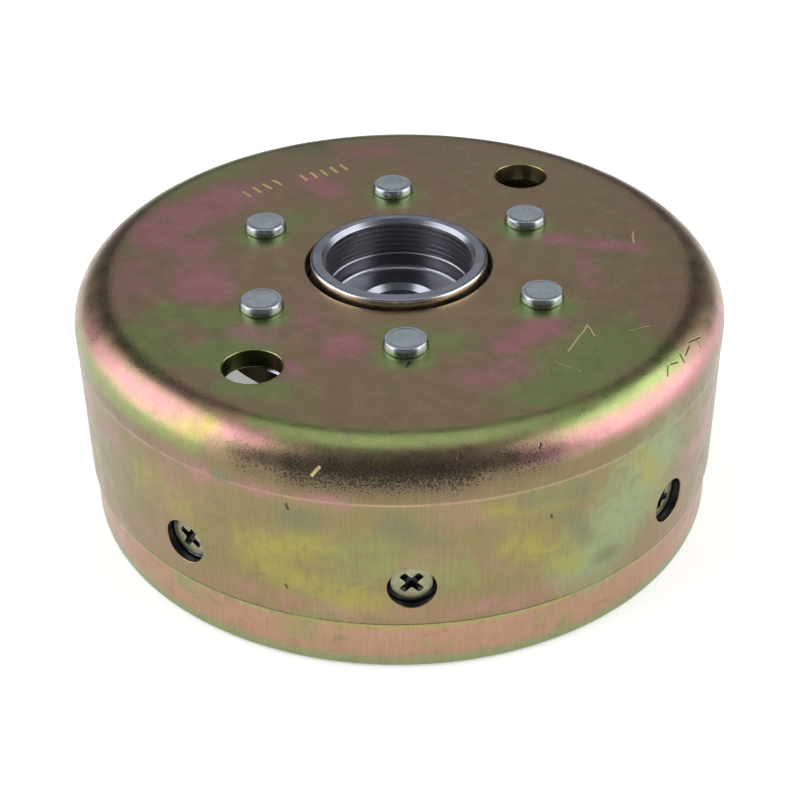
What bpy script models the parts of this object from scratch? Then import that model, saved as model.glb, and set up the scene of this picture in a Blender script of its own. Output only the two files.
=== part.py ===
"""Magneto flywheel: a drawn steel cup on a riveted hub, with four screwed-in magnets.

Metres, +Z up. The flywheel stands on the open rim of its cup, its spin axis is Z, and
the origin is the middle of the rim's plane. It is one rigid rotor: no piece moves
against another.
"""

import math

import bmesh
import bpy
from mathutils import Euler, Matrix, Vector

MM = 0.001

# Overall sizes
CUP_RADIUS = 58.0 * MM
CUP_HEIGHT = 43.9 * MM

# Cup
WALL = 4.0 * MM
TOP_SHEET = 3.5 * MM
SHOULDER_RADIUS = 6.9 * MM
BAND_HEIGHT = 9.6 * MM
BAND_STEP = 0.5 * MM
RIM_CHAMFER = 0.6 * MM
ACCESS_HOLE_RADIUS = 5.0 * MM
ACCESS_FLANGE_CLEARANCE = 0.3 * MM
ACCESS_ANGLES = (54.2, 234.2)

# Hub
LIP_LAND = 1.45 * MM
LIP_HEIGHT = 1.5 * MM
LIP_ROUND = 0.6 * MM
LIP_CLEARANCE = 0.85 * MM
FLANGE_EDGE = 4.9 * MM
FLANGE_THICKNESS = 4.5 * MM
FLANGE_CHAMFER = 0.5 * MM
BOSS_RADIUS = 19.0 * MM
BOSS_FILLET = 2.5 * MM
BOSS_RECESS = 6.0 * MM
BOSS_CHAMFER = 0.8 * MM
PULLER_BORE_RADIUS = 12.95 * MM
PULLER_POCKET_DEPTH = 9.9 * MM
PULLER_MOUTH_CHAMFER = 0.8 * MM
POCKET_FILLET = 0.9 * MM
TAPER_SMALL_RADIUS = 6.2 * MM
TAPER_PER_DIAMETER = 1.0 / 5.0
TAPER_CHAMFER = 1.0 * MM
KEYWAY_WIDTH = 4.0 * MM
KEYWAY_DEPTH = 1.8 * MM
KEYWAY_ANGLE = 270.0

# Rivets
RIVET_COUNT = 6
RIVET_FIRST_ANGLE = 32.0
RIVET_BOSS_CLEARANCE = 1.6 * MM
RIVET_RADIUS = 3.0 * MM
RIVET_HEAD_OVERHANG = 0.85 * MM
RIVET_HEAD_HEIGHT = 1.3 * MM
RIVET_HEAD_ROUND = 0.45 * MM
RIVET_FOOT_OVERHANG = 1.7 * MM
RIVET_FOOT_HEIGHT = 2.2 * MM

# Magnets and pole shoes
POLE_COUNT = 4
POLE_FIRST_ANGLE = 71.5
MAGNET_SPAN = 60.0
MAGNET_THICKNESS = 6.2 * MM
MAGNET_FOOT = 3.4 * MM
MAGNET_HEADROOM = 9.0 * MM
MAGNET_CHAMFER = 0.6 * MM
SHOE_SPAN = 61.0
SHOE_THICKNESS = 3.7 * MM
SHOE_END_INSET = 1.0 * MM
SHOE_CHAMFER = 0.5 * MM

# Magnet screws, two to a pole
SCREW_ANGLE = 19.95
SCREW_RADIUS = 2.0 * MM
SCREW_TIP_INSET = 0.5 * MM
SCREW_HEAD_RADIUS = 3.5 * MM
SCREW_HEAD_LAND = 0.3 * MM
SCREW_FACE_DEPTH = 1.6 * MM
SCREW_WELL_CLEARANCE = 0.5 * MM
SCREW_TIP_CHAMFER = 0.4 * MM
RECESS_REACH = 1.95 * MM
RECESS_ARM_WIDTH = 0.85 * MM
RECESS_CORE = 0.72 * MM
RECESS_DEPTH = 1.3 * MM
RECESS_FLOOR_SHARE = 0.4
RECESS_TURNS = (12.0, 70.0, 35.0, 82.0, 62.0, 45.0, 66.0, 28.0)

# Fits
CONTACT_GAP = 0.3 * MM
HOLE_CLEARANCE = 0.3 * MM
MAGNET_HOLE_CLEARANCE = 0.5 * MM

# Facets round a full turn, and along the rounded edges
CUP_FACETS = 72
HUB_FACETS = 48
SMALL_FACETS = 16
HOLE_FACETS = 24
SHOULDER_FACETS = 7
FILLET_FACETS = 3
POLE_FACETS = 12
SHARP_ANGLE = math.radians(35.0)
CUT_MARGIN = 2.0 * MM

# Heights and radii that follow from the sizes above
SHEET_UNDERSIDE = CUP_HEIGHT - TOP_SHEET
BORE_OF_CUP = CUP_RADIUS - WALL
LIP_TOP = CUP_HEIGHT + LIP_HEIGHT
LIP_RADIUS = PULLER_BORE_RADIUS + PULLER_MOUTH_CHAMFER + LIP_LAND + LIP_ROUND
RIVET_HOLE_RADIUS = RIVET_RADIUS + HOLE_CLEARANCE
RIVET_HEAD_RADIUS = RIVET_RADIUS + RIVET_HEAD_OVERHANG
RIVET_FOOT_RADIUS = RIVET_RADIUS + RIVET_FOOT_OVERHANG
RIVET_PITCH_RADIUS = BOSS_RADIUS + BOSS_FILLET + RIVET_BOSS_CLEARANCE + RIVET_FOOT_RADIUS
FLANGE_RADIUS = RIVET_PITCH_RADIUS + RIVET_RADIUS + FLANGE_EDGE
ACCESS_PITCH_RADIUS = FLANGE_RADIUS + ACCESS_FLANGE_CLEARANCE + ACCESS_HOLE_RADIUS
FLANGE_TOP = SHEET_UNDERSIDE - CONTACT_GAP
FLANGE_BOTTOM = FLANGE_TOP - FLANGE_THICKNESS
POCKET_FLOOR = LIP_TOP - PULLER_POCKET_DEPTH
TAPER_LENGTH = POCKET_FLOOR - BOSS_RECESS
TAPER_LARGE_RADIUS = TAPER_SMALL_RADIUS + TAPER_LENGTH * TAPER_PER_DIAMETER / 2
MAGNET_HEIGHT = SHEET_UNDERSIDE - MAGNET_HEADROOM - MAGNET_FOOT
SHOE_HEIGHT = MAGNET_HEIGHT - 2 * SHOE_END_INSET
POLE_MIDDLE_HEIGHT = MAGNET_FOOT + MAGNET_HEIGHT / 2
MAGNET_OUTER = BORE_OF_CUP - CONTACT_GAP
MAGNET_INNER = MAGNET_OUTER - MAGNET_THICKNESS
SHOE_OUTER = MAGNET_INNER - CONTACT_GAP
SHOE_INNER = SHOE_OUTER - SHOE_THICKNESS
SCREW_FACE = CUP_RADIUS - SCREW_FACE_DEPTH
SCREW_CONE = SCREW_HEAD_RADIUS - SCREW_RADIUS
SCREW_LENGTH = SCREW_FACE - SHOE_INNER - SCREW_TIP_INSET
SCREW_WELL_RADIUS = SCREW_HEAD_RADIUS + SCREW_WELL_CLEARANCE

# name: (colour, metallic, roughness)
FINISHES = {
    "chromated_steel": ((0.34, 0.27, 0.14), 0.9, 0.38),
    "turned_steel": ((0.36, 0.37, 0.40), 1.0, 0.28),
    "zinc_rivet": ((0.44, 0.48, 0.53), 1.0, 0.34),
    "screw_zinc": ((0.42, 0.40, 0.27), 0.9, 0.42),
    "ferrite": ((0.055, 0.055, 0.060), 0.1, 0.72),
    "shoe_steel": ((0.26, 0.26, 0.27), 1.0, 0.45),
}


def clear_scene():
    """Remove every object that the new scene starts with."""
    for obj in list(bpy.data.objects):
        bpy.data.objects.remove(obj, do_unlink=True)


def finish_named(name):
    """The Principled material of that name, made on first use."""
    material = bpy.data.materials.get(name)
    if material:
        return material
    colour, metallic, roughness = FINISHES[name]
    material = bpy.data.materials.new(name)
    material.use_nodes = True
    shader = material.node_tree.nodes["Principled BSDF"]
    shader.inputs["Base Color"].default_value = (*colour, 1.0)
    shader.inputs["Metallic"].default_value = metallic
    shader.inputs["Roughness"].default_value = roughness
    material.diffuse_color = (*colour, 1.0)
    return material


def object_from(name, bm, finish=None):
    """A linked object that holds this bmesh, faces turned outwards."""
    bmesh.ops.recalc_face_normals(bm, faces=bm.faces)
    mesh = bpy.data.meshes.new(name)
    bm.to_mesh(mesh)
    bm.free()
    mesh.shade_smooth()
    mesh.set_sharp_from_angle(angle=SHARP_ANGLE)
    obj = bpy.data.objects.new(name, mesh)
    bpy.context.scene.collection.objects.link(obj)
    if finish:
        mesh.materials.append(finish_named(finish))
    return obj


def arc(centre_r, centre_z, radius, start, end, facets):
    """Points (r, z) of an arc from start to end, in degrees, both ends included."""
    points = []
    for step in range(facets + 1):
        angle = math.radians(start + (end - start) * step / facets)
        points.append((centre_r + radius * math.cos(angle), centre_z + radius * math.sin(angle)))
    return points


def turned(name, profile, facets, closed, finish=None):
    """A body turned about Z from (r, z) points; an open profile starts and ends on the axis."""
    bm = bmesh.new()
    corners = [bm.verts.new((r, 0.0, z)) for r, z in profile]
    edges = [bm.edges.new(pair) for pair in zip(corners, corners[1:])]
    if closed:
        edges.append(bm.edges.new((corners[-1], corners[0])))
    bmesh.ops.spin(
        bm,
        geom=corners + edges,
        cent=(0.0, 0.0, 0.0),
        axis=(0.0, 0.0, 1.0),
        angle=math.tau,
        steps=facets,
        use_merge=True,
    )
    bmesh.ops.remove_doubles(bm, verts=bm.verts, dist=0.001 * MM)
    return object_from(name, bm, finish)


def sector(name, profile, middle, span, finish):
    """A solid swept about Z from a closed (r, z) outline, over span degrees about middle."""
    bm = bmesh.new()
    face = bm.faces.new([bm.verts.new((r, 0.0, z)) for r, z in profile])
    start = Matrix.Rotation(math.radians(middle - span / 2), 3, "Z")
    bmesh.ops.rotate(bm, verts=bm.verts, cent=(0.0, 0.0, 0.0), matrix=start)
    bmesh.ops.spin(
        bm,
        geom=[face],
        cent=(0.0, 0.0, 0.0),
        axis=(0.0, 0.0, 1.0),
        angle=math.radians(span),
        steps=POLE_FACETS,
    )
    return object_from(name, bm, finish)


def chamfered_outline(inner, outer, bottom, top, chamfer):
    """A rectangle in (r, z) with its four corners cut off."""
    return [
        (inner + chamfer, bottom),
        (outer - chamfer, bottom),
        (outer, bottom + chamfer),
        (outer, top - chamfer),
        (outer - chamfer, top),
        (inner + chamfer, top),
        (inner, top - chamfer),
        (inner, bottom + chamfer),
    ]


def cut(body, cutter, name):
    """Take cutter away from body, and keep the cutter as a hidden wire helper."""
    cutter.hide_render = True
    cutter.display_type = "WIRE"
    boolean = body.modifiers.new(name, "BOOLEAN")
    boolean.operation = "DIFFERENCE"
    boolean.solver = "EXACT"
    boolean.object = cutter


def rod_cutter(name, radius, length, facets):
    """A cylinder from the origin up Z."""
    return turned(name, [(0.0, 0.0), (radius, 0.0), (radius, length), (0.0, length)], facets, False)


def stand_at(obj, pitch_radius, angle, bottom):
    """Place an upright piece on a pitch circle, its own X pointing outwards."""
    turn = math.radians(angle)
    obj.location = (pitch_radius * math.cos(turn), pitch_radius * math.sin(turn), bottom)
    obj.rotation_euler = (0.0, 0.0, turn)


def point_outwards(obj, distance, angle, height, spin=0.0):
    """Lay a piece that was turned about Z along the radius at this angle, its +Z outwards."""
    turn = math.radians(angle)
    outwards = Vector((math.cos(turn), math.sin(turn), 0.0))
    obj.location = outwards * distance + Vector((0.0, 0.0, height))
    lay = Euler((0.0, math.radians(90.0), turn), "XYZ").to_matrix()
    own_turn = Matrix.Rotation(math.radians(spin), 3, "Z")
    obj.rotation_euler = (lay @ own_turn).to_euler("XYZ")


def rivet_angles():
    return [RIVET_FIRST_ANGLE + 360.0 * index / RIVET_COUNT for index in range(RIVET_COUNT)]


def pole_angles():
    return [POLE_FIRST_ANGLE + 360.0 * index / POLE_COUNT for index in range(POLE_COUNT)]


def screw_angles():
    return [middle + side * SCREW_ANGLE for middle in pole_angles() for side in (-1, 1)]


def cup_profile():
    """The drawn cup: lower band, wall, rounded shoulder, top sheet, and back down inside."""
    band_radius = CUP_RADIUS - BAND_STEP
    shoulder_centre = (CUP_RADIUS - SHOULDER_RADIUS, CUP_HEIGHT - SHOULDER_RADIUS)
    inner_round = max(SHOULDER_RADIUS - TOP_SHEET, RIM_CHAMFER)
    inner_centre = (BORE_OF_CUP - inner_round, SHEET_UNDERSIDE - inner_round)
    hub_opening = LIP_RADIUS + LIP_CLEARANCE
    return [
        (band_radius - RIM_CHAMFER, 0.0),
        (band_radius, RIM_CHAMFER),
        (band_radius, BAND_HEIGHT),
        (CUP_RADIUS, BAND_HEIGHT + BAND_STEP / 2),
        *arc(*shoulder_centre, SHOULDER_RADIUS, 0.0, 90.0, SHOULDER_FACETS),
        (hub_opening, CUP_HEIGHT),
        (hub_opening, SHEET_UNDERSIDE),
        *arc(*inner_centre, inner_round, 90.0, 0.0, FILLET_FACETS),
        (BORE_OF_CUP, RIM_CHAMFER),
        (BORE_OF_CUP + RIM_CHAMFER, 0.0),
    ]


def hub_profile():
    """The hub: raised lip, rivet flange, boss, and the bore with its puller pocket."""
    lip_centre = (LIP_RADIUS - LIP_ROUND, LIP_TOP - LIP_ROUND)
    fillet_centre = (BOSS_RADIUS + BOSS_FILLET, FLANGE_BOTTOM - BOSS_FILLET)
    pocket_centre = (PULLER_BORE_RADIUS - POCKET_FILLET, POCKET_FLOOR + POCKET_FILLET)
    return [
        *arc(*lip_centre, LIP_ROUND, 90.0, 0.0, FILLET_FACETS),
        (LIP_RADIUS, FLANGE_TOP),
        (FLANGE_RADIUS - FLANGE_CHAMFER, FLANGE_TOP),
        (FLANGE_RADIUS, FLANGE_TOP - FLANGE_CHAMFER),
        (FLANGE_RADIUS, FLANGE_BOTTOM + FLANGE_CHAMFER),
        (FLANGE_RADIUS - FLANGE_CHAMFER, FLANGE_BOTTOM),
        *arc(*fillet_centre, BOSS_FILLET, 90.0, 180.0, FILLET_FACETS),
        (BOSS_RADIUS, BOSS_RECESS + BOSS_CHAMFER),
        (BOSS_RADIUS - BOSS_CHAMFER, BOSS_RECESS),
        (TAPER_LARGE_RADIUS + BOSS_CHAMFER, BOSS_RECESS),
        (TAPER_LARGE_RADIUS, BOSS_RECESS + BOSS_CHAMFER),
        (TAPER_SMALL_RADIUS, POCKET_FLOOR - TAPER_CHAMFER),
        (TAPER_SMALL_RADIUS + TAPER_CHAMFER, POCKET_FLOOR),
        *arc(*pocket_centre, POCKET_FILLET, 270.0, 360.0, FILLET_FACETS),
        (PULLER_BORE_RADIUS, LIP_TOP - PULLER_MOUTH_CHAMFER),
        (PULLER_BORE_RADIUS + PULLER_MOUTH_CHAMFER, LIP_TOP),
    ]


def rivet_profile():
    """A rivet that stands on the cup's top at z = 0: flat head above, forged foot below."""
    head_bottom = CONTACT_GAP
    head_top = head_bottom + RIVET_HEAD_HEIGHT
    head_centre = (RIVET_HEAD_RADIUS - RIVET_HEAD_ROUND, head_top - RIVET_HEAD_ROUND)
    foot_top = FLANGE_BOTTOM - CONTACT_GAP - CUP_HEIGHT
    foot_bottom = foot_top - RIVET_FOOT_HEIGHT
    return [
        (0.0, head_top),
        *arc(*head_centre, RIVET_HEAD_ROUND, 90.0, 0.0, FILLET_FACETS),
        (RIVET_HEAD_RADIUS, head_bottom),
        (RIVET_RADIUS, head_bottom),
        (RIVET_RADIUS, foot_top),
        (RIVET_FOOT_RADIUS, foot_top),
        (RIVET_FOOT_RADIUS, foot_bottom + RIVET_HEAD_ROUND),
        (RIVET_FOOT_RADIUS - RIVET_HEAD_ROUND, foot_bottom),
        (0.0, foot_bottom),
    ]


def screw_profile():
    """A countersunk screw: its face at z = 0, and its tip below."""
    cone_end = -(SCREW_HEAD_LAND + SCREW_CONE)
    return [
        (0.0, 0.0),
        (SCREW_HEAD_RADIUS, 0.0),
        (SCREW_HEAD_RADIUS, -SCREW_HEAD_LAND),
        (SCREW_RADIUS, cone_end),
        (SCREW_RADIUS, -SCREW_LENGTH + SCREW_TIP_CHAMFER),
        (SCREW_RADIUS - SCREW_TIP_CHAMFER, -SCREW_LENGTH),
        (0.0, -SCREW_LENGTH),
    ]


def screw_seat_profile():
    """The well, the conical seat and the clearance hole for one screw, face at z = 0."""
    seat_offset = CONTACT_GAP * math.sqrt(2.0)
    hole_radius = SCREW_RADIUS + HOLE_CLEARANCE
    seat_top = -SCREW_HEAD_LAND - seat_offset + (SCREW_WELL_RADIUS - SCREW_HEAD_RADIUS)
    seat_bottom = seat_top - (SCREW_WELL_RADIUS - hole_radius)
    return [
        (0.0, SCREW_FACE_DEPTH + CUT_MARGIN),
        (SCREW_WELL_RADIUS, SCREW_FACE_DEPTH + CUT_MARGIN),
        (SCREW_WELL_RADIUS, seat_top),
        (hole_radius, seat_bottom),
        (hole_radius, -SCREW_LENGTH),
        (0.0, -SCREW_LENGTH),
    ]


def make_cup():
    cup = turned("rotor_cup", cup_profile(), CUP_FACETS, True, "chromated_steel")
    hole_length = TOP_SHEET + 2 * CUT_MARGIN
    for index, angle in enumerate(rivet_angles(), 1):
        cutter = rod_cutter(f"cup_rivet_hole_{index}", RIVET_HOLE_RADIUS, hole_length, SMALL_FACETS)
        stand_at(cutter, RIVET_PITCH_RADIUS, angle, SHEET_UNDERSIDE - CUT_MARGIN)
        cut(cup, cutter, f"rivet hole {index}")
    for index, angle in enumerate(ACCESS_ANGLES, 1):
        cutter = rod_cutter(f"cup_access_hole_{index}", ACCESS_HOLE_RADIUS, hole_length, HOLE_FACETS)
        stand_at(cutter, ACCESS_PITCH_RADIUS, angle, SHEET_UNDERSIDE - CUT_MARGIN)
        cut(cup, cutter, f"access hole {index}")
    for index, angle in enumerate(screw_angles(), 1):
        cutter = turned(f"cup_screw_seat_{index}", screw_seat_profile(), SMALL_FACETS, False)
        point_outwards(cutter, SCREW_FACE, angle, POLE_MIDDLE_HEIGHT)
        cut(cup, cutter, f"screw seat {index}")
    return cup


def make_hub():
    hub = turned("hub", hub_profile(), HUB_FACETS, True, "turned_steel")
    hole_length = FLANGE_THICKNESS + 2 * CUT_MARGIN
    for index, angle in enumerate(rivet_angles(), 1):
        cutter = rod_cutter(f"hub_rivet_hole_{index}", RIVET_HOLE_RADIUS, hole_length, SMALL_FACETS)
        stand_at(cutter, RIVET_PITCH_RADIUS, angle, FLANGE_BOTTOM - CUT_MARGIN)
        cut(hub, cutter, f"rivet hole {index}")
    cut(hub, keyway_cutter(), "keyway")
    return hub


def keyway_cutter():
    """A bar that follows the slope of the taper bore, and leaves the keyway in its wall."""
    bm = bmesh.new()
    slope = TAPER_PER_DIAMETER / 2
    low = BOSS_RECESS - CUT_MARGIN
    high = POCKET_FLOOR + POCKET_FILLET / 2
    low_reach = TAPER_LARGE_RADIUS + KEYWAY_DEPTH + CUT_MARGIN * slope
    high_reach = TAPER_SMALL_RADIUS + KEYWAY_DEPTH - POCKET_FILLET / 2 * slope
    outline = [(0.0, low), (low_reach, low), (high_reach, high), (0.0, high)]
    face = bm.faces.new([bm.verts.new((r, -KEYWAY_WIDTH / 2, z)) for r, z in outline])
    grown = bmesh.ops.extrude_face_region(bm, geom=[face])
    corners = [item for item in grown["geom"] if isinstance(item, bmesh.types.BMVert)]
    bmesh.ops.translate(bm, verts=corners, vec=(0.0, KEYWAY_WIDTH, 0.0))
    cutter = object_from("hub_keyway_bar", bm)
    cutter.rotation_euler = (0.0, 0.0, math.radians(KEYWAY_ANGLE))
    return cutter


def make_rivets():
    for index, angle in enumerate(rivet_angles(), 1):
        rivet = turned(f"rivet_{index}", rivet_profile(), SMALL_FACETS, False, "zinc_rivet")
        stand_at(rivet, RIVET_PITCH_RADIUS, angle, CUP_HEIGHT)


def cross_cutter(name):
    """A four-armed tapered recess, its mouth just above z = 0 and its floor below."""
    bm = bmesh.new()
    half = RECESS_ARM_WIDTH / 2
    arm = [Vector((RECESS_REACH, -half)), Vector((RECESS_REACH, half)), Vector((RECESS_CORE, RECESS_CORE))]
    rim = [Matrix.Rotation(math.radians(90.0 * turn), 2) @ point for turn in range(4) for point in arm]
    mouth = [bm.verts.new((point.x, point.y, CONTACT_GAP)) for point in rim]
    floor = [bm.verts.new((*(point * RECESS_FLOOR_SHARE), -RECESS_DEPTH)) for point in rim]
    bm.faces.new(mouth)
    bm.faces.new(list(reversed(floor)))
    for index, corner in enumerate(mouth):
        following = (index + 1) % len(mouth)
        bm.faces.new((corner, mouth[following], floor[following], floor[index]))
    return object_from(name, bm)


def make_screws():
    for index, (angle, turn) in enumerate(zip(screw_angles(), RECESS_TURNS), 1):
        screw = turned(f"magnet_screw_{index}", screw_profile(), SMALL_FACETS, False, "screw_zinc")
        point_outwards(screw, SCREW_FACE, angle, POLE_MIDDLE_HEIGHT)
        recess = cross_cutter(f"screw_recess_{index}")
        point_outwards(recess, SCREW_FACE, angle, POLE_MIDDLE_HEIGHT, turn)
        cut(screw, recess, "cross recess")


def drill_for_screws(body, pole_middle, radius, inner):
    """Drill the two radial screw holes of one pole through a magnet or a shoe."""
    for hole, side in enumerate((-1, 1), 1):
        cutter = rod_cutter(f"{body.name}_screw_hole_{hole}", radius, CUP_RADIUS - inner, SMALL_FACETS)
        point_outwards(cutter, inner - CUT_MARGIN, pole_middle + side * SCREW_ANGLE, POLE_MIDDLE_HEIGHT)
        cut(body, cutter, f"screw hole {hole}")


def make_poles():
    shoe_low = MAGNET_FOOT + SHOE_END_INSET
    magnet_outline = chamfered_outline(
        MAGNET_INNER, MAGNET_OUTER, MAGNET_FOOT, MAGNET_FOOT + MAGNET_HEIGHT, MAGNET_CHAMFER
    )
    shoe_outline = chamfered_outline(
        SHOE_INNER, SHOE_OUTER, shoe_low, shoe_low + SHOE_HEIGHT, SHOE_CHAMFER
    )
    for index, middle in enumerate(pole_angles(), 1):
        magnet = sector(f"magnet_{index}", magnet_outline, middle, MAGNET_SPAN, "ferrite")
        drill_for_screws(magnet, middle, SCREW_RADIUS + MAGNET_HOLE_CLEARANCE, MAGNET_INNER)
        shoe = sector(f"pole_shoe_{index}", shoe_outline, middle, SHOE_SPAN, "shoe_steel")
        drill_for_screws(shoe, middle, SCREW_RADIUS + HOLE_CLEARANCE, SHOE_INNER)


clear_scene()
make_cup()
make_hub()
make_rivets()
make_poles()
make_screws()
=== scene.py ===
"""The finished look of a magneto flywheel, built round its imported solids.

Each piece of the flywheel is made again here with the fillets, threads, wells and wear that its plain
solid leaves out, dressed in its own metal, and stood on a pale floor in soft studio light.
"""

import logging
import math
import sys
from collections.abc import Callable, Iterable, Sequence
from dataclasses import dataclass, field
from enum import Enum

import bmesh
import bpy
import numpy as np
from mathutils import Matrix, Vector


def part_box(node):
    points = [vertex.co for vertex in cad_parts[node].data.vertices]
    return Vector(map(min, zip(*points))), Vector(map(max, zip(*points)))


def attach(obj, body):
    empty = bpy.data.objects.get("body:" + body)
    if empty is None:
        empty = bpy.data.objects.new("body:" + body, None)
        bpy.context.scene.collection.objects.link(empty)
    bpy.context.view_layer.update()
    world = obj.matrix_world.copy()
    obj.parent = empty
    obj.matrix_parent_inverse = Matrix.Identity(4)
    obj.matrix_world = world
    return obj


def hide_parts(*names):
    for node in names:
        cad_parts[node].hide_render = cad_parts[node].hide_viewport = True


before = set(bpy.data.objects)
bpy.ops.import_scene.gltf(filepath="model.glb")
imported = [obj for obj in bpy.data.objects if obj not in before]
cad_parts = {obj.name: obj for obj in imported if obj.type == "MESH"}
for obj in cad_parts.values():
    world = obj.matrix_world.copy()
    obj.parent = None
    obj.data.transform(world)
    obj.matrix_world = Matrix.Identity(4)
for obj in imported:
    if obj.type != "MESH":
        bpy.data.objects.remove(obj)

MM = 0.001
BODY = "root"
SHARP_ANGLE = math.radians(32)
TINY = 1e-9
LOG = logging.getLogger("flywheel")

Colour = tuple[float, float, float]
Profile = list[tuple[float, float]]
Socket = bpy.types.NodeSocket
Value = Socket | float | Sequence[float]
Surface = Callable[[float, float], float]


class Slot(Enum):
    """The finishes that the record names."""

    CUP = "chromated_steel"
    HUB = "turned_steel"
    RIVET = "rivet_zinc"
    MAGNET = "ferrite"
    SHOE = "shoe_steel"
    SCREW = "screw_zinc"


# ---------------------------------------------------------------- shapes


def arc(centre: tuple[float, float], radius: float, start: float, end: float, steps: int) -> Profile:
    """Points of an arc in (r, z).

    Args:
        centre: The arc's centre.
        radius: Its radius.
        start: The angle of its first point, in degrees.
        end: The angle of its last point, in degrees.
        steps: How many chords it has.

    Returns:
        The points, both ends included.
    """
    angles = [math.radians(start + (end - start) * k / steps) for k in range(steps + 1)]
    return [(centre[0] + radius * math.cos(a), centre[1] + radius * math.sin(a)) for a in angles]


def spaced(start: float, end: float, step: float) -> list[float]:
    """Values between start and end, both left out, about one step apart."""
    count = max(1, round(abs(end - start) / step))
    return [start + (end - start) * k / count for k in range(1, count)]


def outwards(angle: float) -> Vector:
    """The level direction at an angle round the axis, in degrees."""
    return Vector((math.cos(math.radians(angle)), math.sin(math.radians(angle)), 0.0))


def level(height: float) -> Surface:
    """A flat surface at one height along a hole's axis."""
    return lambda s, t: height


def round_wall(reach: float) -> Surface:
    """The wall of a cylinder about the flywheel's axis, seen along a hole that points at that axis."""
    return lambda s, t: math.sqrt(reach * reach - s * s)


def thread_wave(turns: float) -> float:
    """The depth of a thread's groove, with a flat on each crest and in each root.

    Args:
        turns: How many turns of the thread lead to the place.

    Returns:
        0 on a crest and 1 in a root.
    """
    flat = 0.12
    slope = 1 - abs(2 * (turns % 1.0) - 1)
    return min(1.0, max(0.0, (slope - flat) / (1 - 2 * flat)))


def nodes_like(prefix: str) -> list[str]:
    """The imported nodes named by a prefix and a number, in order."""
    return sorted(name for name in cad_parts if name.removeprefix(prefix).isdigit())


def node_box(node: str) -> tuple[Vector, Vector]:
    """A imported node's lowest and highest corner, in millimetres."""
    low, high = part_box(node)
    return low / MM, high / MM


def node_middle(node: str) -> Vector:
    """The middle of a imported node's box, in millimetres."""
    low, high = node_box(node)
    return (low + high) / 2


def node_angle(node: str) -> float:
    """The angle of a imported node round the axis.

    Args:
        node: The node's name.

    Returns:
        The angle of the middle of its points, in degrees from 0 to 360.
    """
    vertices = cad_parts[node].data.vertices
    middle = sum((vertex.co for vertex in vertices), Vector()) / len(vertices)
    return math.degrees(math.atan2(middle.y, middle.x)) % 360


@dataclass(frozen=True)
class Window:
    """A four-sided opening left in a skin for a hole: its first and last column and row."""

    columns: tuple[int, int]
    rows: tuple[int, int]


@dataclass
class Outline:
    """The (r, z) points of a section, in order."""

    points: Profile = field(default_factory=list)

    def add(self, points: Iterable[tuple[float, float]]) -> None:
        """Carry the section on."""
        self.points.extend(points)

    def near(self, radius: float, height: float) -> int:
        """The row that comes closest to a place."""
        place = (radius, height)
        return min(range(len(self.points)), key=lambda row: math.dist(self.points[row], place))

    def window(
        self,
        columns: int,
        angle: float,
        wide: float,
        one: tuple[float, float],
        other: tuple[float, float],
    ) -> Window:
        """The opening for a hole in a body turned from this section.

        Args:
            columns: How many columns the body has.
            angle: The hole's angle, in degrees.
            wide: How far the opening reaches to each side, in degrees.
            one: Where it starts in the section.
            other: Where it ends.

        Returns:
            The opening, widened to whole columns and rows.
        """
        first = math.floor((angle - wide) * columns / 360)
        last = math.ceil((angle + wide) * columns / 360)
        rows = sorted((self.near(*one), self.near(*other)))
        return Window((first, last), (rows[0], rows[1]))


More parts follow.
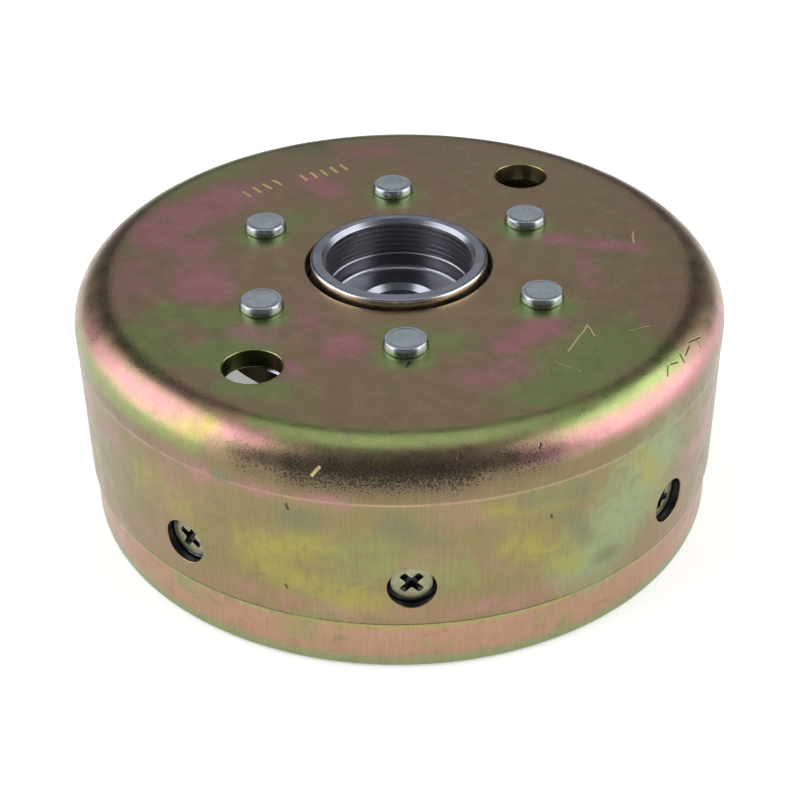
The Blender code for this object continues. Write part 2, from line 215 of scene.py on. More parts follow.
class Blank:
    """The points and faces of one piece while it is being shaped, in millimetres."""

    def __init__(self) -> None:
        """Start with nothing."""
        self.points: list[Vector] = []
        self.faces: list[tuple[int, ...]] = []
        self.finishes: list[int] = []
        self.marks: dict[str, np.ndarray] = {}

    def ring(self, points: Iterable[Vector]) -> list[int]:
        """Add a run of points.

        Args:
            points: The points, in order.

        Returns:
            Their numbers.
        """
        first = len(self.points)
        self.points.extend(points)
        return list(range(first, len(self.points)))

    def face(self, corners: Sequence[int], finish: int = 0) -> None:
        """Add one face."""
        self.faces.append(tuple(corners))
        self.finishes.append(finish)

    def join(self, one: list[int], other: list[int], finish: int = 0) -> None:
        """Join two closed rings of the same length with quads.

        Args:
            one: The first ring.
            other: The second ring, in step with the first.
            finish: Which of the piece's materials the quads take.
        """
        count = len(one)
        for k in range(count):
            after = (k + 1) % count
            self.face((one[k], one[after], other[after], other[k]), finish)

    def loft(self, rings: Sequence[list[int]], finish: int = 0) -> None:
        """Join a run of closed rings."""
        for one, other in zip(rings, rings[1:]):
            self.join(one, other, finish)

    def weld(self, one: list[int], other: list[int], finish: int = 0) -> None:
        """Join two closed rings that may start at different places and run different ways.

        Args:
            one: The first ring.
            other: The second ring.
            finish: Which of the piece's materials the quads take.
        """
        count = len(one)
        first, second = self.points[one[0]], self.points[one[1]]
        start = min(range(count), key=lambda k: (self.points[other[k]] - first).length)
        forward = [other[(start + k) % count] for k in range(count)]
        backward = [other[(start - k) % count] for k in range(count)]
        gaps = [(self.points[way[1]] - second).length for way in (forward, backward)]
        self.join(one, forward if gaps[0] < gaps[1] else backward, finish)

    def close(self, ring: list[int], middle: int, finish: int = 0) -> None:
        """Close a ring with triangles to one point."""
        for k, number in enumerate(ring):
            self.face((number, ring[(k + 1) % len(ring)], middle), finish)

    def piece(self, name: str, slot: Slot, materials: Sequence[bpy.types.Material]) -> bpy.types.Object:
        """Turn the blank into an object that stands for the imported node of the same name.

        Args:
            name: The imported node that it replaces; the piece is named after it.
            slot: The record's finish.
            materials: The piece's materials, in the order that its faces count them.

        Returns:
            The object, riding on the flywheel's body.
        """
        mesh = bpy.data.meshes.new(name + "_look")
        mesh.from_pydata([point * MM for point in self.points], [], self.faces)
        mesh.polygons.foreach_set("material_index", self.finishes)
        shaped = bmesh.new()
        shaped.from_mesh(mesh)
        bmesh.ops.recalc_face_normals(shaped, faces=shaped.faces)
        shaped.to_mesh(mesh)
        shaped.free()
        mesh.shade_smooth()
        mesh.set_sharp_from_angle(angle=SHARP_ANGLE)
        for mark, strength in self.marks.items():
            mesh.attributes.new(mark, "FLOAT", "POINT").data.foreach_set("value", strength.astype(np.float32))
        for material in materials:
            mesh.materials.append(material)
        obj = bpy.data.objects.new(name + "_look", mesh)
        bpy.context.scene.collection.objects.link(obj)
        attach(obj, BODY)
        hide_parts(name)
        LOG.info("%s: %d faces, %s", obj.name, len(mesh.polygons), slot.value)
        return obj


class Skin:
    """A closed section swept about the axis, with windows left open in it."""

    def __init__(
        self,
        blank: Blank,
        profile: Profile,
        columns: int,
        windows: Sequence[Window] = (),
        place: Callable[[int, int, float, float], Vector] | None = None,
        closed: bool = True,
    ) -> None:
        """Add the skin to a blank.

        Args:
            blank: The blank that takes its points and faces.
            profile: The section.
            columns: How many columns of points it has.
            windows: The openings to leave.
            place: Gives a point from its column, row, radius and height; a plain turned body needs none.
            closed: Whether the columns run all the way round.
        """
        self.columns = columns
        self.rows = len(profile)
        place = place or self.turned_point
        opened = self.inside(windows, 0)
        hidden = self.inside(windows, 1)
        self.at: dict[tuple[int, int], int] = {}
        for row, (radius, height) in enumerate(profile):
            for column in range(columns):
                if (column, row) not in hidden:
                    self.at[column, row] = blank.ring([place(column, row, radius, height)])[0]
        for row in range(self.rows):
            below = (row + 1) % self.rows
            for column in range(columns if closed else columns - 1):
                if (column, row) not in opened:
                    beside = (column + 1) % columns
                    corners = ((column, row), (beside, row), (beside, below), (column, below))
                    blank.face([self.at[corner] for corner in corners])

    def inside(self, windows: Sequence[Window], skip: int) -> set[tuple[int, int]]:
        """The columns and rows that lie in windows.

        Args:
            windows: The windows.
            skip: How many of each window's first columns and rows to leave out.

        Returns:
            The (column, row) pairs.
        """
        return {
            (column % self.columns, row)
            for window in windows
            for column in range(window.columns[0] + skip, window.columns[1])
            for row in range(window.rows[0] + skip, window.rows[1])
        }

    def turned_point(self, column: int, row: int, radius: float, height: float) -> Vector:
        """The point of a plain turned body."""
        angle = math.tau * column / self.columns
        return Vector((radius * math.cos(angle), radius * math.sin(angle), height))

    def border(self, window: Window) -> list[int]:
        """The points round a window.

        Args:
            window: The window.

        Returns:
            Their numbers, in order round it.
        """
        (left, right), (top, bottom) = window.columns, window.rows
        cells = [(c, top) for c in range(left, right)]
        cells += [(right, r) for r in range(top, bottom)]
        cells += [(c, bottom) for c in range(right, left, -1)]
        cells += [(left, r) for r in range(bottom, top, -1)]
        return [self.at[c % self.columns, r] for c, r in cells]


@dataclass(frozen=True)
class Drilling:
    """A straight axis through a piece, round which holes and small turned parts are made.

    Attributes:
        centre: The point on the axis from which heights along it are measured.
        out: The way that the axis looks.
        across: A direction square to the axis, from which angles are measured.
    """

    centre: Vector
    out: Vector
    across: Vector

    def spot(self, radius: float, angle: float, surface: Surface) -> Vector:
        """A point on a surface, found from above it.

        Args:
            radius: Its distance from the axis.
            angle: Its angle about the axis, in radians.
            surface: The surface's height over the plane that the centre lies in.

        Returns:
            The point.
        """
        side = self.out.cross(self.across)
        s, t = radius * math.cos(angle), radius * math.sin(angle)
        return self.centre + self.across * s + side * t + self.out * surface(s, t)

    def circle(self, blank: Blank, radius: float, angles: Sequence[float], surface: Surface) -> list[int]:
        """Add a circle of points on a surface."""
        return blank.ring([self.spot(radius, angle, surface) for angle in angles])

    def spin(self, blank: Blank, outline: Profile, columns: int) -> None:
        """Turn a solid about the axis.

        Args:
            blank: The blank that takes it.
            outline: Its outline as (radius, height) points, starting and ending on the axis.
            columns: How many columns it has.
        """
        angles = [math.tau * k / columns for k in range(columns)]
        rings = [self.circle(blank, r, angles, level(h)) for r, h in outline[1:-1]]
        blank.loft(rings)
        for ring, (_, height) in ((rings[0], outline[0]), (rings[-1], outline[-1])):
            blank.close(ring, blank.ring([self.centre + self.out * height])[0])

    def lead_in(
        self, blank: Blank, border: list[int], radius: float, surface: Surface, steps: int
    ) -> tuple[list[list[int]], list[float]]:
        """Rings that lead over a surface from a window's border to a circle.

        Args:
            blank: The blank that takes the points.
            border: The window's border.
            radius: The circle's radius.
            surface: The surface that the rings lie on.
            steps: How many rings to lay, the circle included.

        Returns:
            The rings with the border first, and the angle of each point of the circle.
        """
        side = self.out.cross(self.across)
        arms = [blank.points[number] - self.centre for number in border]
        flat = [(arm.dot(self.across), arm.dot(side)) for arm in arms]
        polar = [(math.hypot(s, t), math.atan2(t, s)) for s, t in flat]
        turn = math.tau / len(border)
        if math.remainder(polar[1][1] - polar[0][1], math.tau) < 0:
            turn = -turn
        drift = [math.remainder(was - turn * k - polar[0][1], math.tau) for k, (_, was) in enumerate(polar)]
        start = polar[0][1] + sum(drift) / len(drift)
        angles = [start + turn * k for k in range(len(border))]
        rings = [border]
        for step in range(1, steps + 1):
            share = step / steps
            ring = []
            for (far, was), goal in zip(polar, angles):
                swing = math.remainder(goal - was, math.tau)
                ring.append(self.spot(far + (radius - far) * share, was + swing * share, surface))
            rings.append(blank.ring(ring))
        return rings, angles


# ---------------------------------------------------------------- finishes


class Graph:
    """The nodes of one finish, from its coordinates to its shader."""

    def __init__(self, name: str) -> None:
        """Start a material with a Principled shader.

        Args:
            name: The finish's name.
        """
        self.material = bpy.data.materials.new(name)
        self.material.use_nodes = True
        self.tree = self.material.node_tree
        self.shader = self.tree.nodes["Principled BSDF"]
        self.coords = self.tree.nodes.new("ShaderNodeTexCoord").outputs["Object"]

    def feed(self, socket: Socket, value: Value) -> None:
        """Link a socket to another, or set its value.

        Args:
            socket: The socket to feed.
            value: Another socket, a number, or a vector or colour; a colour gets an alpha of 1.
        """
        if isinstance(value, bpy.types.NodeSocket):
            self.tree.links.new(value, socket)
        elif isinstance(value, (tuple, list)) and len(socket.default_value) > len(value):
            socket.default_value = (*value, 1.0)
        else:
            socket.default_value = value

    def add(self, kind: str, settings: dict[str, object], *inputs: Value | None) -> bpy.types.Node:
        """Add a node.

        Args:
            kind: The node's type, without its ShaderNode prefix.
            settings: The node's own settings.
            inputs: Values or links for its sockets in order; None leaves one alone.

        Returns:
            The node.
        """
        node = self.tree.nodes.new("ShaderNode" + kind)
        for name, value in settings.items():
            setattr(node, name, value)
        sockets = [socket for socket in node.inputs if socket.enabled]
        for socket, value in zip(sockets, inputs):
            if value is not None:
                self.feed(socket, value)
        return node

    def maths(self, operation: str, *inputs: Value, clamp: bool = False) -> Socket:
        """One sum, named by its operation."""
        settings = {"operation": operation, "use_clamp": clamp}
        return self.add("Math", settings, *inputs).outputs[0]

    def vector(self, operation: str, *inputs: Value) -> Socket:
        """One vector sum; the operations that give a number return that number."""
        node = self.add("VectorMath", {"operation": operation}, *inputs)
        return node.outputs["Value" if operation in ("LENGTH", "DOT_PRODUCT", "DISTANCE") else "Vector"]

    def stretched(self, x: float, y: float, z: float) -> Socket:
        """The coordinates scaled along each axis."""
        return self.vector("MULTIPLY", self.coords, (x, y, z))

    def noise(
        self,
        size: float,
        detail: float = 3.0,
        rough: float = 0.5,
        coords: Value | None = None,
        warp: float = 0.0,
    ) -> Socket:
        """Smooth noise.

        Args:
            size: The width of its largest features, in millimetres.
            detail: How many finer layers it has.
            rough: How strong the finer layers are.
            coords: Coordinates other than the piece's own.
            warp: How far it is distorted.

        Returns:
            The noise, from 0 to 1.
        """
        coords = coords or self.coords
        finer = 2.0  # how much finer each layer is than the one before
        node = self.add("TexNoise", {}, coords, 1 / (size * MM), detail, rough, finer, warp)
        return node.outputs["Fac"]

    def noise_vector(self, size: float) -> Socket:
        """Smooth noise as a vector about zero, each part from -1 to 1."""
        colour = self.add("TexNoise", {}, self.coords, 1 / (size * MM), 2.0).outputs["Color"]
        return self.vector("MULTIPLY_ADD", colour, (2.0, 2.0, 2.0), (-1.0, -1.0, -1.0))

    def fade(self, value: Value, low: float, high: float, start: float = 0.0, end: float = 1.0) -> Socket:
        """A smooth step from start at low to end at high."""
        settings = {"interpolation_type": "SMOOTHSTEP"}
        return self.add("MapRange", settings, value, low, high, start, end).outputs["Result"]

    def scale(self, value: Value, low: float, high: float, start: float, end: float) -> Socket:
        """A straight, clamped change from start at low to end at high."""
        return self.add("MapRange", {}, value, low, high, start, end).outputs["Result"]

    def mix(self, share: Value, one: Value, other: Value) -> Socket:
        """A mix of two colours: one at a share of 0, the other at 1."""
        return self.add("Mix", {"data_type": "RGBA"}, share, one, other).outputs["Result"]

    def ramp(self, value: Socket, stops: Sequence[tuple[float, Colour]]) -> Socket:
        """A colour that runs through stops.

        Args:
            value: The value that picks the colour.
            stops: Values and their colours, lowest first.

        Returns:
            The colour.
        """
        first, last = stops[0][0], stops[-1][0]
        node = self.add("ValToRGB", {}, self.scale(value, first, last, 0.0, 1.0))
        elements = node.color_ramp.elements
        elements[0].color, elements[-1].color = (*stops[0][1], 1.0), (*stops[-1][1], 1.0)
        for place, colour in stops[1:-1]:
            elements.new((place - first) / (last - first)).color = (*colour, 1.0)
        return node.outputs["Color"]

    def stroke(self, place: Socket, start: Vector, end: Vector, width: float) -> Socket:
        """A stroke cut along a line.

        Args:
            place: The coordinates to measure from, in metres.
            start: The line's first point, in millimetres.
            end: Its last point.
            width: The stroke's width.

        Returns:
            1 along the middle of the stroke, fading to 0 at its sides.
        """
        way = (end - start) * MM
        arm = self.vector("SUBTRACT", place, (start * MM)[:])
        along = self.vector("DOT_PRODUCT", arm, (way / max(way.length_squared, MM**4))[:])
        along = self.maths("ADD", along, 0.0, clamp=True)
        foot = self.vector("MULTIPLY", self.add("CombineXYZ", {}, along, along, along).outputs[0], way[:])
        return self.fade(self.vector("DISTANCE", arm, foot), 0.0, width * MM / 2, 1.0, 0.0)

    def mark(self, name: str) -> Socket:
        """A number that the piece's mesh holds at each point."""
        return self.add("Attribute", {"attribute_name": name}).outputs["Fac"]

    def bump(self, height: Value, depth: float, under: Value | None = None) -> Socket:
        """A bumped normal.

        Args:
            height: How high each place stands, as a share of the depth.
            depth: How high a height of 1 stands, in millimetres; below 0 it is sunk.
            under: The normal that it is laid over, if not the surface's own.

        Returns:
            The normal.
        """
        node = self.add("Bump", {})
        for socket, value in (("Distance", depth * MM), ("Height", height)):
            self.feed(node.inputs[socket], value)
        if under is not None:
            self.feed(node.inputs["Normal"], under)
        return node.outputs["Normal"]

    def done(
        self, colour: Value, rough: Value, normal: Value | None, metal: float = 1.0
    ) -> bpy.types.Material:
        """Set the shader.

        Args:
            colour: The base colour.
            rough: The roughness.
            normal: The bumped normal, if it has one.
            metal: 1 for a metal and 0 for anything else.

        Returns:
            The material.
        """
        self.feed(self.shader.inputs["Base Color"], colour)
        self.feed(self.shader.inputs["Roughness"], rough)
        self.shader.inputs["Metallic"].default_value = metal
        if normal is not None:
            self.feed(self.shader.inputs["Normal"], normal)
        return self.material


class Tint(Enum):
    """What the chromate turns to in patches."""

    ROSE = "rose"
    GREEN = "green"
    GOLD = "gold"
    TEAL = "teal"
    GREY = "grey"
    # Partly real scuffing with dark specks, partly a painted dark reflection along the shoulder's foot and
    # the top sheet's edge.
    SCUFF_AND_DARK_REFLECTION = "scuff"


@dataclass(frozen=True)
class Patch:
    """A soft patch along a short line, in millimetres.

    Attributes:
        tint: What it turns to.
        start: The line's first point: (x, y) on the top sheet, or on the wall its angle in
            degrees and its height.
        end: Its last point.
        reach: How far the patch fades out to.
        force: How strong it is along the line.
    """

    tint: Tint
    start: tuple[float, float]
    end: tuple[float, float]
    reach: float
    force: float = 1.0

    def strength(self, flat: np.ndarray, across: float = 1.0) -> np.ndarray:
        """How strongly each place takes the tint.

        Args:
            flat: The places, unrolled in millimetres.
            across: How many millimetres there are to one unit of the patch's first number.

        Returns:
            A value from 0 to 1 for each place.
        """
        one, other = np.array(self.start) * (across, 1), np.array(self.end) * (across, 1)
        way = other - one
        share = np.clip((flat - one) @ way / max(way @ way, TINY), 0, 1)
        away = np.linalg.norm(flat - one - share[:, None] * way, axis=1)
        near = np.clip(1 - away / self.reach, 0, 1)
        return self.force * near * near * (3 - 2 * near)


SHEET_PATCHES = (
    Patch(Tint.ROSE, (-45, 14), (-31, 27), 11.0),
    Patch(Tint.ROSE, (-44, 10), (-38, 7), 9.0),
    Patch(Tint.ROSE, (-35, -3), (-34, -8), 10.0, 1.1),
    Patch(Tint.ROSE, (-46, 0), (-47, -12), 8.0, 0.6),
    Patch(Tint.ROSE, (-14, 28), (-17, 33), 7.0, 0.9),
    Patch(Tint.ROSE, (-8, 44), (-2, 46), 6.0, 0.6),
    Patch(Tint.ROSE, (28, 8), (43, 4), 5.0, 0.9),
    Patch(Tint.ROSE, (33, 2), (34, -8), 4.6, 0.7),
    Patch(Tint.ROSE, (18, -28), (25, -22), 6.6),
    Patch(Tint.ROSE, (14, -37), (19, -35), 8.0, 0.8),
    Patch(Tint.ROSE, (-10, -29), (-9, -27), 8.0, 0.9),
    Patch(Tint.ROSE, (-17, -18), (-15, -19), 6.0, 0.7),
    Patch(Tint.ROSE, (-26, -23), (-22, -25), 5.6, 0.7),
    Patch(Tint.ROSE, (-17, -33), (-17, -36), 5.0, 0.7),
    Patch(Tint.GREEN, (-22, 14), (-19, 17), 9.0, 0.8),
    Patch(Tint.GREEN, (-30, -19), (-40, -16), 8.0, 0.8),
    Patch(Tint.GREEN, (-43, -22), (-38, -30), 9.0, 0.9),
    Patch(Tint.GREEN, (-30, -30), (-25, -27), 8.0, 1.7),
    Patch(Tint.GREEN, (-28, -38), (-20, -40), 8.0, 0.9),
    Patch(Tint.GREEN, (0, -25), (8, -27), 9.0, 0.9),
    Patch(Tint.GREEN, (24, -40), (36, -28), 17.0, 0.95),
    Patch(Tint.GREEN, (22, 33), (26, 38), 8.0, 0.6),
    Patch(Tint.GREEN, (-44, 30), (-30, 40), 9.0, 0.6),
    Patch(Tint.GREY, (-20, 46), (-16, 47), 6.0, 0.9),
)
WALL_PATCHES = (
    Patch(Tint.GOLD, (244, 22), (256, 25), 7.0, 0.75),
    Patch(Tint.GOLD, (248, 18), (266, 14.5), 6.0, 0.7),
    Patch(Tint.GOLD, (284, 31.5), (296, 31), 4.6, 0.7),
    Patch(Tint.GOLD, (288, 24), (299, 18), 7.5, 0.65),
    Patch(Tint.GOLD, (223, 26), (231, 25), 9.0, 0.6),
    Patch(Tint.GOLD, (312, 32), (320, 20), 7.0, 0.6),
    Patch(Tint.TEAL, (303, 17), (316, 29), 15.0, 1.05),
    Patch(Tint.GREEN, (262, 24), (278, 20), 9.0, 0.6),
    Patch(Tint.GREY, (252, 30), (256, 30), 4.5, 0.9),
    Patch(Tint.GREY, (268, 31), (276, 26), 5.5, 0.8),
    Patch(Tint.GREY, (289, 32), (300, 31), 4.0, 0.8),
    Patch(Tint.GREY, (298, 27), (301, 20), 4.4, 0.8),
    Patch(Tint.GREY, (304, 15), (307, 15), 4.0, 0.8),
    Patch(Tint.GREY, (240, 34.8), (242, 34.8), 2.6),
    Patch(Tint.ROSE, (236, 33.8), (262, 34.5), 3.6, 0.55),
    Patch(Tint.ROSE, (240, 13), (300, 12), 4.0, 0.4),
    Patch(Tint.ROSE, (190, 26), (215, 30), 9.0, 0.5),
    Patch(Tint.ROSE, (325, 20), (345, 28), 10.0, 0.6),
    Patch(Tint.GREEN, (250, 7), (256, 5), 4.0, 0.55),
    Patch(Tint.GREEN, (273, 5), (277, 3.6), 3.6, 0.5),
    Patch(Tint.GREEN, (293, 6), (298, 4), 4.0, 0.55),
    Patch(Tint.GREEN, (228, 8), (236, 6), 4.6, 0.6),
    Patch(Tint.GREEN, (245, 45.5), (300, 45.5), 4.4, 1.0),
    Patch(Tint.GREEN, (296, 44.6), (326, 44.6), 3.6, 1.1),
    Patch(Tint.GREEN, (195, 38.5), (236, 38.5), 3.6, 0.8),
    Patch(Tint.GOLD, (233, 41), (237, 43), 5.0, 0.7),
    Patch(Tint.ROSE, (195, 43), (248, 43), 3.8, 0.7),
    Patch(Tint.ROSE, (290, 40.2), (350, 40.2), 4.2, 0.75),
    # Dark bands at the shoulder's foot and along the top sheet's edge: real scuffing and a painted dark
    # reflection.
    Patch(Tint.SCUFF_AND_DARK_REFLECTION, (245, 39.6), (293, 39.6), 5.0, 0.6),
    Patch(Tint.SCUFF_AND_DARK_REFLECTION, (253, 39.4), (280, 39.4), 5.6, 0.95),
    Patch(Tint.SCUFF_AND_DARK_REFLECTION, (184, 47), (240, 46.6), 2.3, 0.5),
    Patch(Tint.SCUFF_AND_DARK_REFLECTION, (325, 46.6), (358, 47), 2.3, 0.5),
)
# The wall's patches show again on its far side, turned by this many degrees.
BACK_TURN = 168.0


@dataclass(frozen=True)
class Cut:
    """A scratch or a nick.

    Attributes:
        start: Where it starts: (x, y) on the top sheet, or on the wall its angle in degrees and
            its height.
        end: Where it ends.
        width: Its width in millimetres.
        bright: Whether it shows clean metal and not dirt.
    """

    start: tuple[float, float]
    end: tuple[float, float]
    width: float
    bright: bool


SHEET_CUTS = (
    Cut((43, 10), (42.6, 6), 0.7, True),
    Cut((31.5, -22), (27.5, -30), 0.75, True),
    Cut((31.5, -22), (32.3, -25.5), 0.6, True),
    Cut((38, -24), (42, -22.5), 0.3, True),
    Cut((25, -33), (29, -36), 0.3, True),
    Cut((1.5, -32.6), (1.2, -33.8), 0.9, False),
)
WALL_CUTS = (
    Cut((256.4, 38.8), (257.4, 40.2), 0.8, True),
    Cut((321, 42.2), (322.6, 42.9), 0.45, False),
    Cut((323.5, 42.8), (325.2, 42.5), 0.45, False),
    Cut((326.5, 42.0), (327.2, 42.9), 0.5, False),
    Cut((328, 42.4), (330.6, 42.7), 0.5, False),
    Cut((331.5, 42.9), (334.8, 42.3), 0.5, False),
    Cut((333, 41.6), (333.6, 42.9), 0.4, False),
    Cut((291.9, 40.8), (292.3, 41.4), 0.5, False),
    Cut((278.8, 41.4), (279.2, 42.0), 0.45, False),
    Cut((268.0, 38.8), (268.3, 39.5), 0.5, False),
    Cut((252, 32.6), (252.2, 31.6), 0.8, False),
    Cut((251, 15.9), (251.2, 15.3), 0.8, False),
    Cut((294, 28), (294.2, 27.4), 0.8, False),
)


@dataclass(frozen=True)
class Tally:
    """A row of short punched bars on the top sheet, in millimetres."""

    start: tuple[float, float]
    end: tuple[float, float]
    bars: int
    tall: float = 2.4
    width: float = 1.1

    def cuts(self) -> list[Cut]:
        """Lay out the bars.

        Returns:
            The bars as cuts that show clean gold metal.
        """
        one, other = Vector(self.start), Vector(self.end)
        way = (other - one).normalized()
        arm = Vector((-way.y, way.x)) * self.tall / 2
        middles = [one.lerp(other, k / (self.bars - 1)) for k in range(self.bars)]
        return [Cut((m - arm)[:], (m + arm)[:], self.width, True) for m in middles]


TALLIES = (Tally((-29, 27), (-23.4, 31.6), 4), Tally((-18.3, 33.4), (-10.6, 37.8), 5))


@dataclass(frozen=True)
class Chromate:
    """Iridescent yellow chromate over drawn steel, in zones by height and in patches."""

    sheet: Colour = (0.31, 0.22, 0.135)
    upper: Colour = (0.235, 0.18, 0.095)
    turned: Colour = (0.26, 0.215, 0.10)
    lower: Colour = (0.29, 0.21, 0.112)
    band: Colour = (0.44, 0.26, 0.17)
    strip: Colour = (0.38, 0.34, 0.13)
    rim: Colour = (0.285, 0.31, 0.16)
    curve: Colour = (0.33, 0.235, 0.145)
    # Painted highlight: a pale line along the upper edge of the turned wall.
    edge: Colour = (0.40, 0.295, 0.17)
    # Painted shadow: a dark line along the wall's rounded lower edge, just above the step to the band.
    step_shadow: Colour = (0.10, 0.085, 0.045)
    # Real dirt and grain, and also the painted dark reflection of the scuffed bands.
    dirt_and_dark_reflection: Colour = (0.045, 0.038, 0.03)
    clean: Colour = (0.80, 0.66, 0.32)
    rose: Colour = (0.46, 0.20, 0.23)
    green: Colour = (0.24, 0.305, 0.11)
    gold: Colour = (0.345, 0.315, 0.08)
    teal: Colour = (0.28, 0.345, 0.18)
    grey: Colour = (0.20, 0.195, 0.11)

    def zones(self, step: float, line: float, top: float) -> list[tuple[float, Colour]]:
        """The colours from the rim up.

        Args:
            step: The height at which the band meets the wall.
            line: The height of the turned wall's upper edge.
            top: The top sheet's height.

        Returns:
            Heights and colours, lowest first.
        """
        return [
            (0.0, self.rim),
            (step - 8.0, self.rim),
            (step - 6.4, self.band),
            (step - 1.3, self.band),
            (step - 0.8, self.strip),
            (step - 0.15, self.strip),
            # Painted shadow line along the wall's lower edge, just above the step.
            (step - 0.02, self.step_shadow),
            (step + 0.2, self.step_shadow),
            (step + 0.4, self.lower),
            (step + 4.0, self.lower),
            (step + 7.0, self.turned),
            (line - 0.35, self.turned),
            # Painted highlight along the turned wall's upper edge.
            (line - 0.1, self.edge),
            (line + 0.1, self.edge),
            (line + 0.35, self.upper),
            (top - 6.4, self.upper),
            (top - 4.4, self.curve),
            (top - 1.2, self.curve),
            (top - 0.15, self.sheet),
            (top + 0.1, self.sheet),
        ]

    def patched(self, g: Graph, colour: Socket) -> Socket:
        """Lay the drifting tints and the patches over the zones.

        Args:
            g: The finish's nodes.
            colour: The colour of the zones.

        Returns:
            The colour with its tints.
        """
        ragged = g.maths("SUBTRACT", g.noise(7, 5, 0.65, warp=1.2), 0.5)
        drift = g.noise(24, 4, 0.6, warp=0.4)
        colour = g.mix(g.fade(drift, 0.54, 0.72, 0.0, 0.30), colour, self.rose)
        colour = g.mix(g.fade(drift, 0.46, 0.28, 0.0, 0.40), colour, self.green)
        paints = (
            (Tint.GREEN, self.green),
            (Tint.ROSE, self.rose),
            (Tint.TEAL, self.teal),
            (Tint.GOLD, self.gold),
            (Tint.GREY, self.grey),
        )
        for tint, paint in paints:
            share = g.maths("MULTIPLY_ADD", ragged, 1.5, g.mark(tint.value))
            colour = g.mix(g.fade(share, 0.12, 1.05, 0.0, 0.95), colour, paint)
        return colour

    def cuts(self, g: Graph, cup: "RotorCup", top: float, wall: float) -> tuple[Value, Value]:
        """Draw the scratches, the nicks and the punched bars.

        Args:
            g: The finish's nodes.
            cup: The cup that wears it, for its shoulder.
            top: The top sheet's height.
            wall: The wall's radius.

        Returns:
            How deep each place lies in the cuts that show clean metal, and in those that hold dirt.
        """
        sway = g.vector("MULTIPLY", g.noise_vector(2.0), (MM * 0.2, MM * 0.2, MM * 0.2))
        place = g.vector("ADD", g.coords, sway)
        bars = [bar for tally in TALLIES for bar in tally.cuts()]
        lines = [(cut, Vector((*cut.start, top)), Vector((*cut.end, top))) for cut in SHEET_CUTS]
        for cut in WALL_CUTS:
            lines.append((cut, cup.on_wall(cut.start, top, wall), cup.on_wall(cut.end, top, wall)))
        lines += [(bar, Vector((*bar.start, top)), Vector((*bar.end, top))) for bar in bars]
        deep: dict[bool, Value] = {True: 0.0, False: 0.0}
        for cut, start, end in lines:
            stroke = g.stroke(place, start, end, cut.width)
            deep[cut.bright] = g.maths("MAXIMUM", deep[cut.bright], stroke)
        return deep[True], deep[False]

    def make(self, cup: "RotorCup", top: float, wall: float) -> bpy.types.Material:
        """Build the material.

        Args:
            cup: The cup that wears it, for its heights and its shoulder.
            top: The top sheet's height.
            wall: The wall's radius.

        Returns:
            The material.
        """
        g = Graph("yellow_chromate")
        height = g.maths("MULTIPLY", g.add("SeparateXYZ", {}, g.coords).outputs[2], 1 / MM)
        colour = self.patched(g, g.ramp(height, self.zones(cup.band_top, cup.turned_top, top)))
        grain = g.noise(0.32, 3, 0.6, g.stretched(1, 1, 0.05))
        smudge = g.noise(3.4, 4, 0.6, g.stretched(1, 1, 1.8), 0.6)
        colour = g.mix(g.fade(smudge, 0.52, 0.70, 0.0, 0.42), colour, self.grey)
        colour = g.mix(g.scale(grain, 0.35, 0.65, 0.0, 0.13), colour, self.dirt_and_dark_reflection)
        dust = g.noise(0.30, 3, 0.65)
        scuff_and_dark_reflection_mark = g.mark(Tint.SCUFF_AND_DARK_REFLECTION.value)
        # The marked bands darken smoothly, which is a painted dark reflection, and in specks, which are real
        # scuffing.
        colour = g.mix(g.maths("MULTIPLY", scuff_and_dark_reflection_mark, 0.5), colour, self.dirt_and_dark_reflection)
        scuff = g.fade(g.maths("MULTIPLY_ADD", scuff_and_dark_reflection_mark, 0.26, dust), 0.65, 0.75, 0.0, 0.9)
        colour = g.mix(scuff, colour, self.dirt_and_dark_reflection)
        bright, dirty = self.cuts(g, cup, top, wall)
        colour = g.mix(g.fade(bright, 0.0, 0.7, 0.0, 0.85), colour, self.clean)
        broken = g.maths("MULTIPLY", dirty, g.scale(dust, 0.35, 0.5, 0.3, 1.0))
        colour = g.mix(g.fade(broken, 0.0, 0.7, 0.0, 0.85), colour, self.dirt_and_dark_reflection)
        cloud = g.noise(4, 4, 0.6)
        rough = g.maths("MULTIPLY_ADD", scuff, 0.2, g.scale(cloud, 0.3, 0.7, 0.24, 0.38))
        waves = g.bump(g.noise(3.2, 3, 0.5), 0.035)
        fine = g.bump(g.maths("MULTIPLY_ADD", dust, 2.2, grain), 0.011, under=waves)
        normal = g.bump(g.maths("ADD", bright, dirty), -0.05, under=fine)
        return g.done(colour, rough, normal)


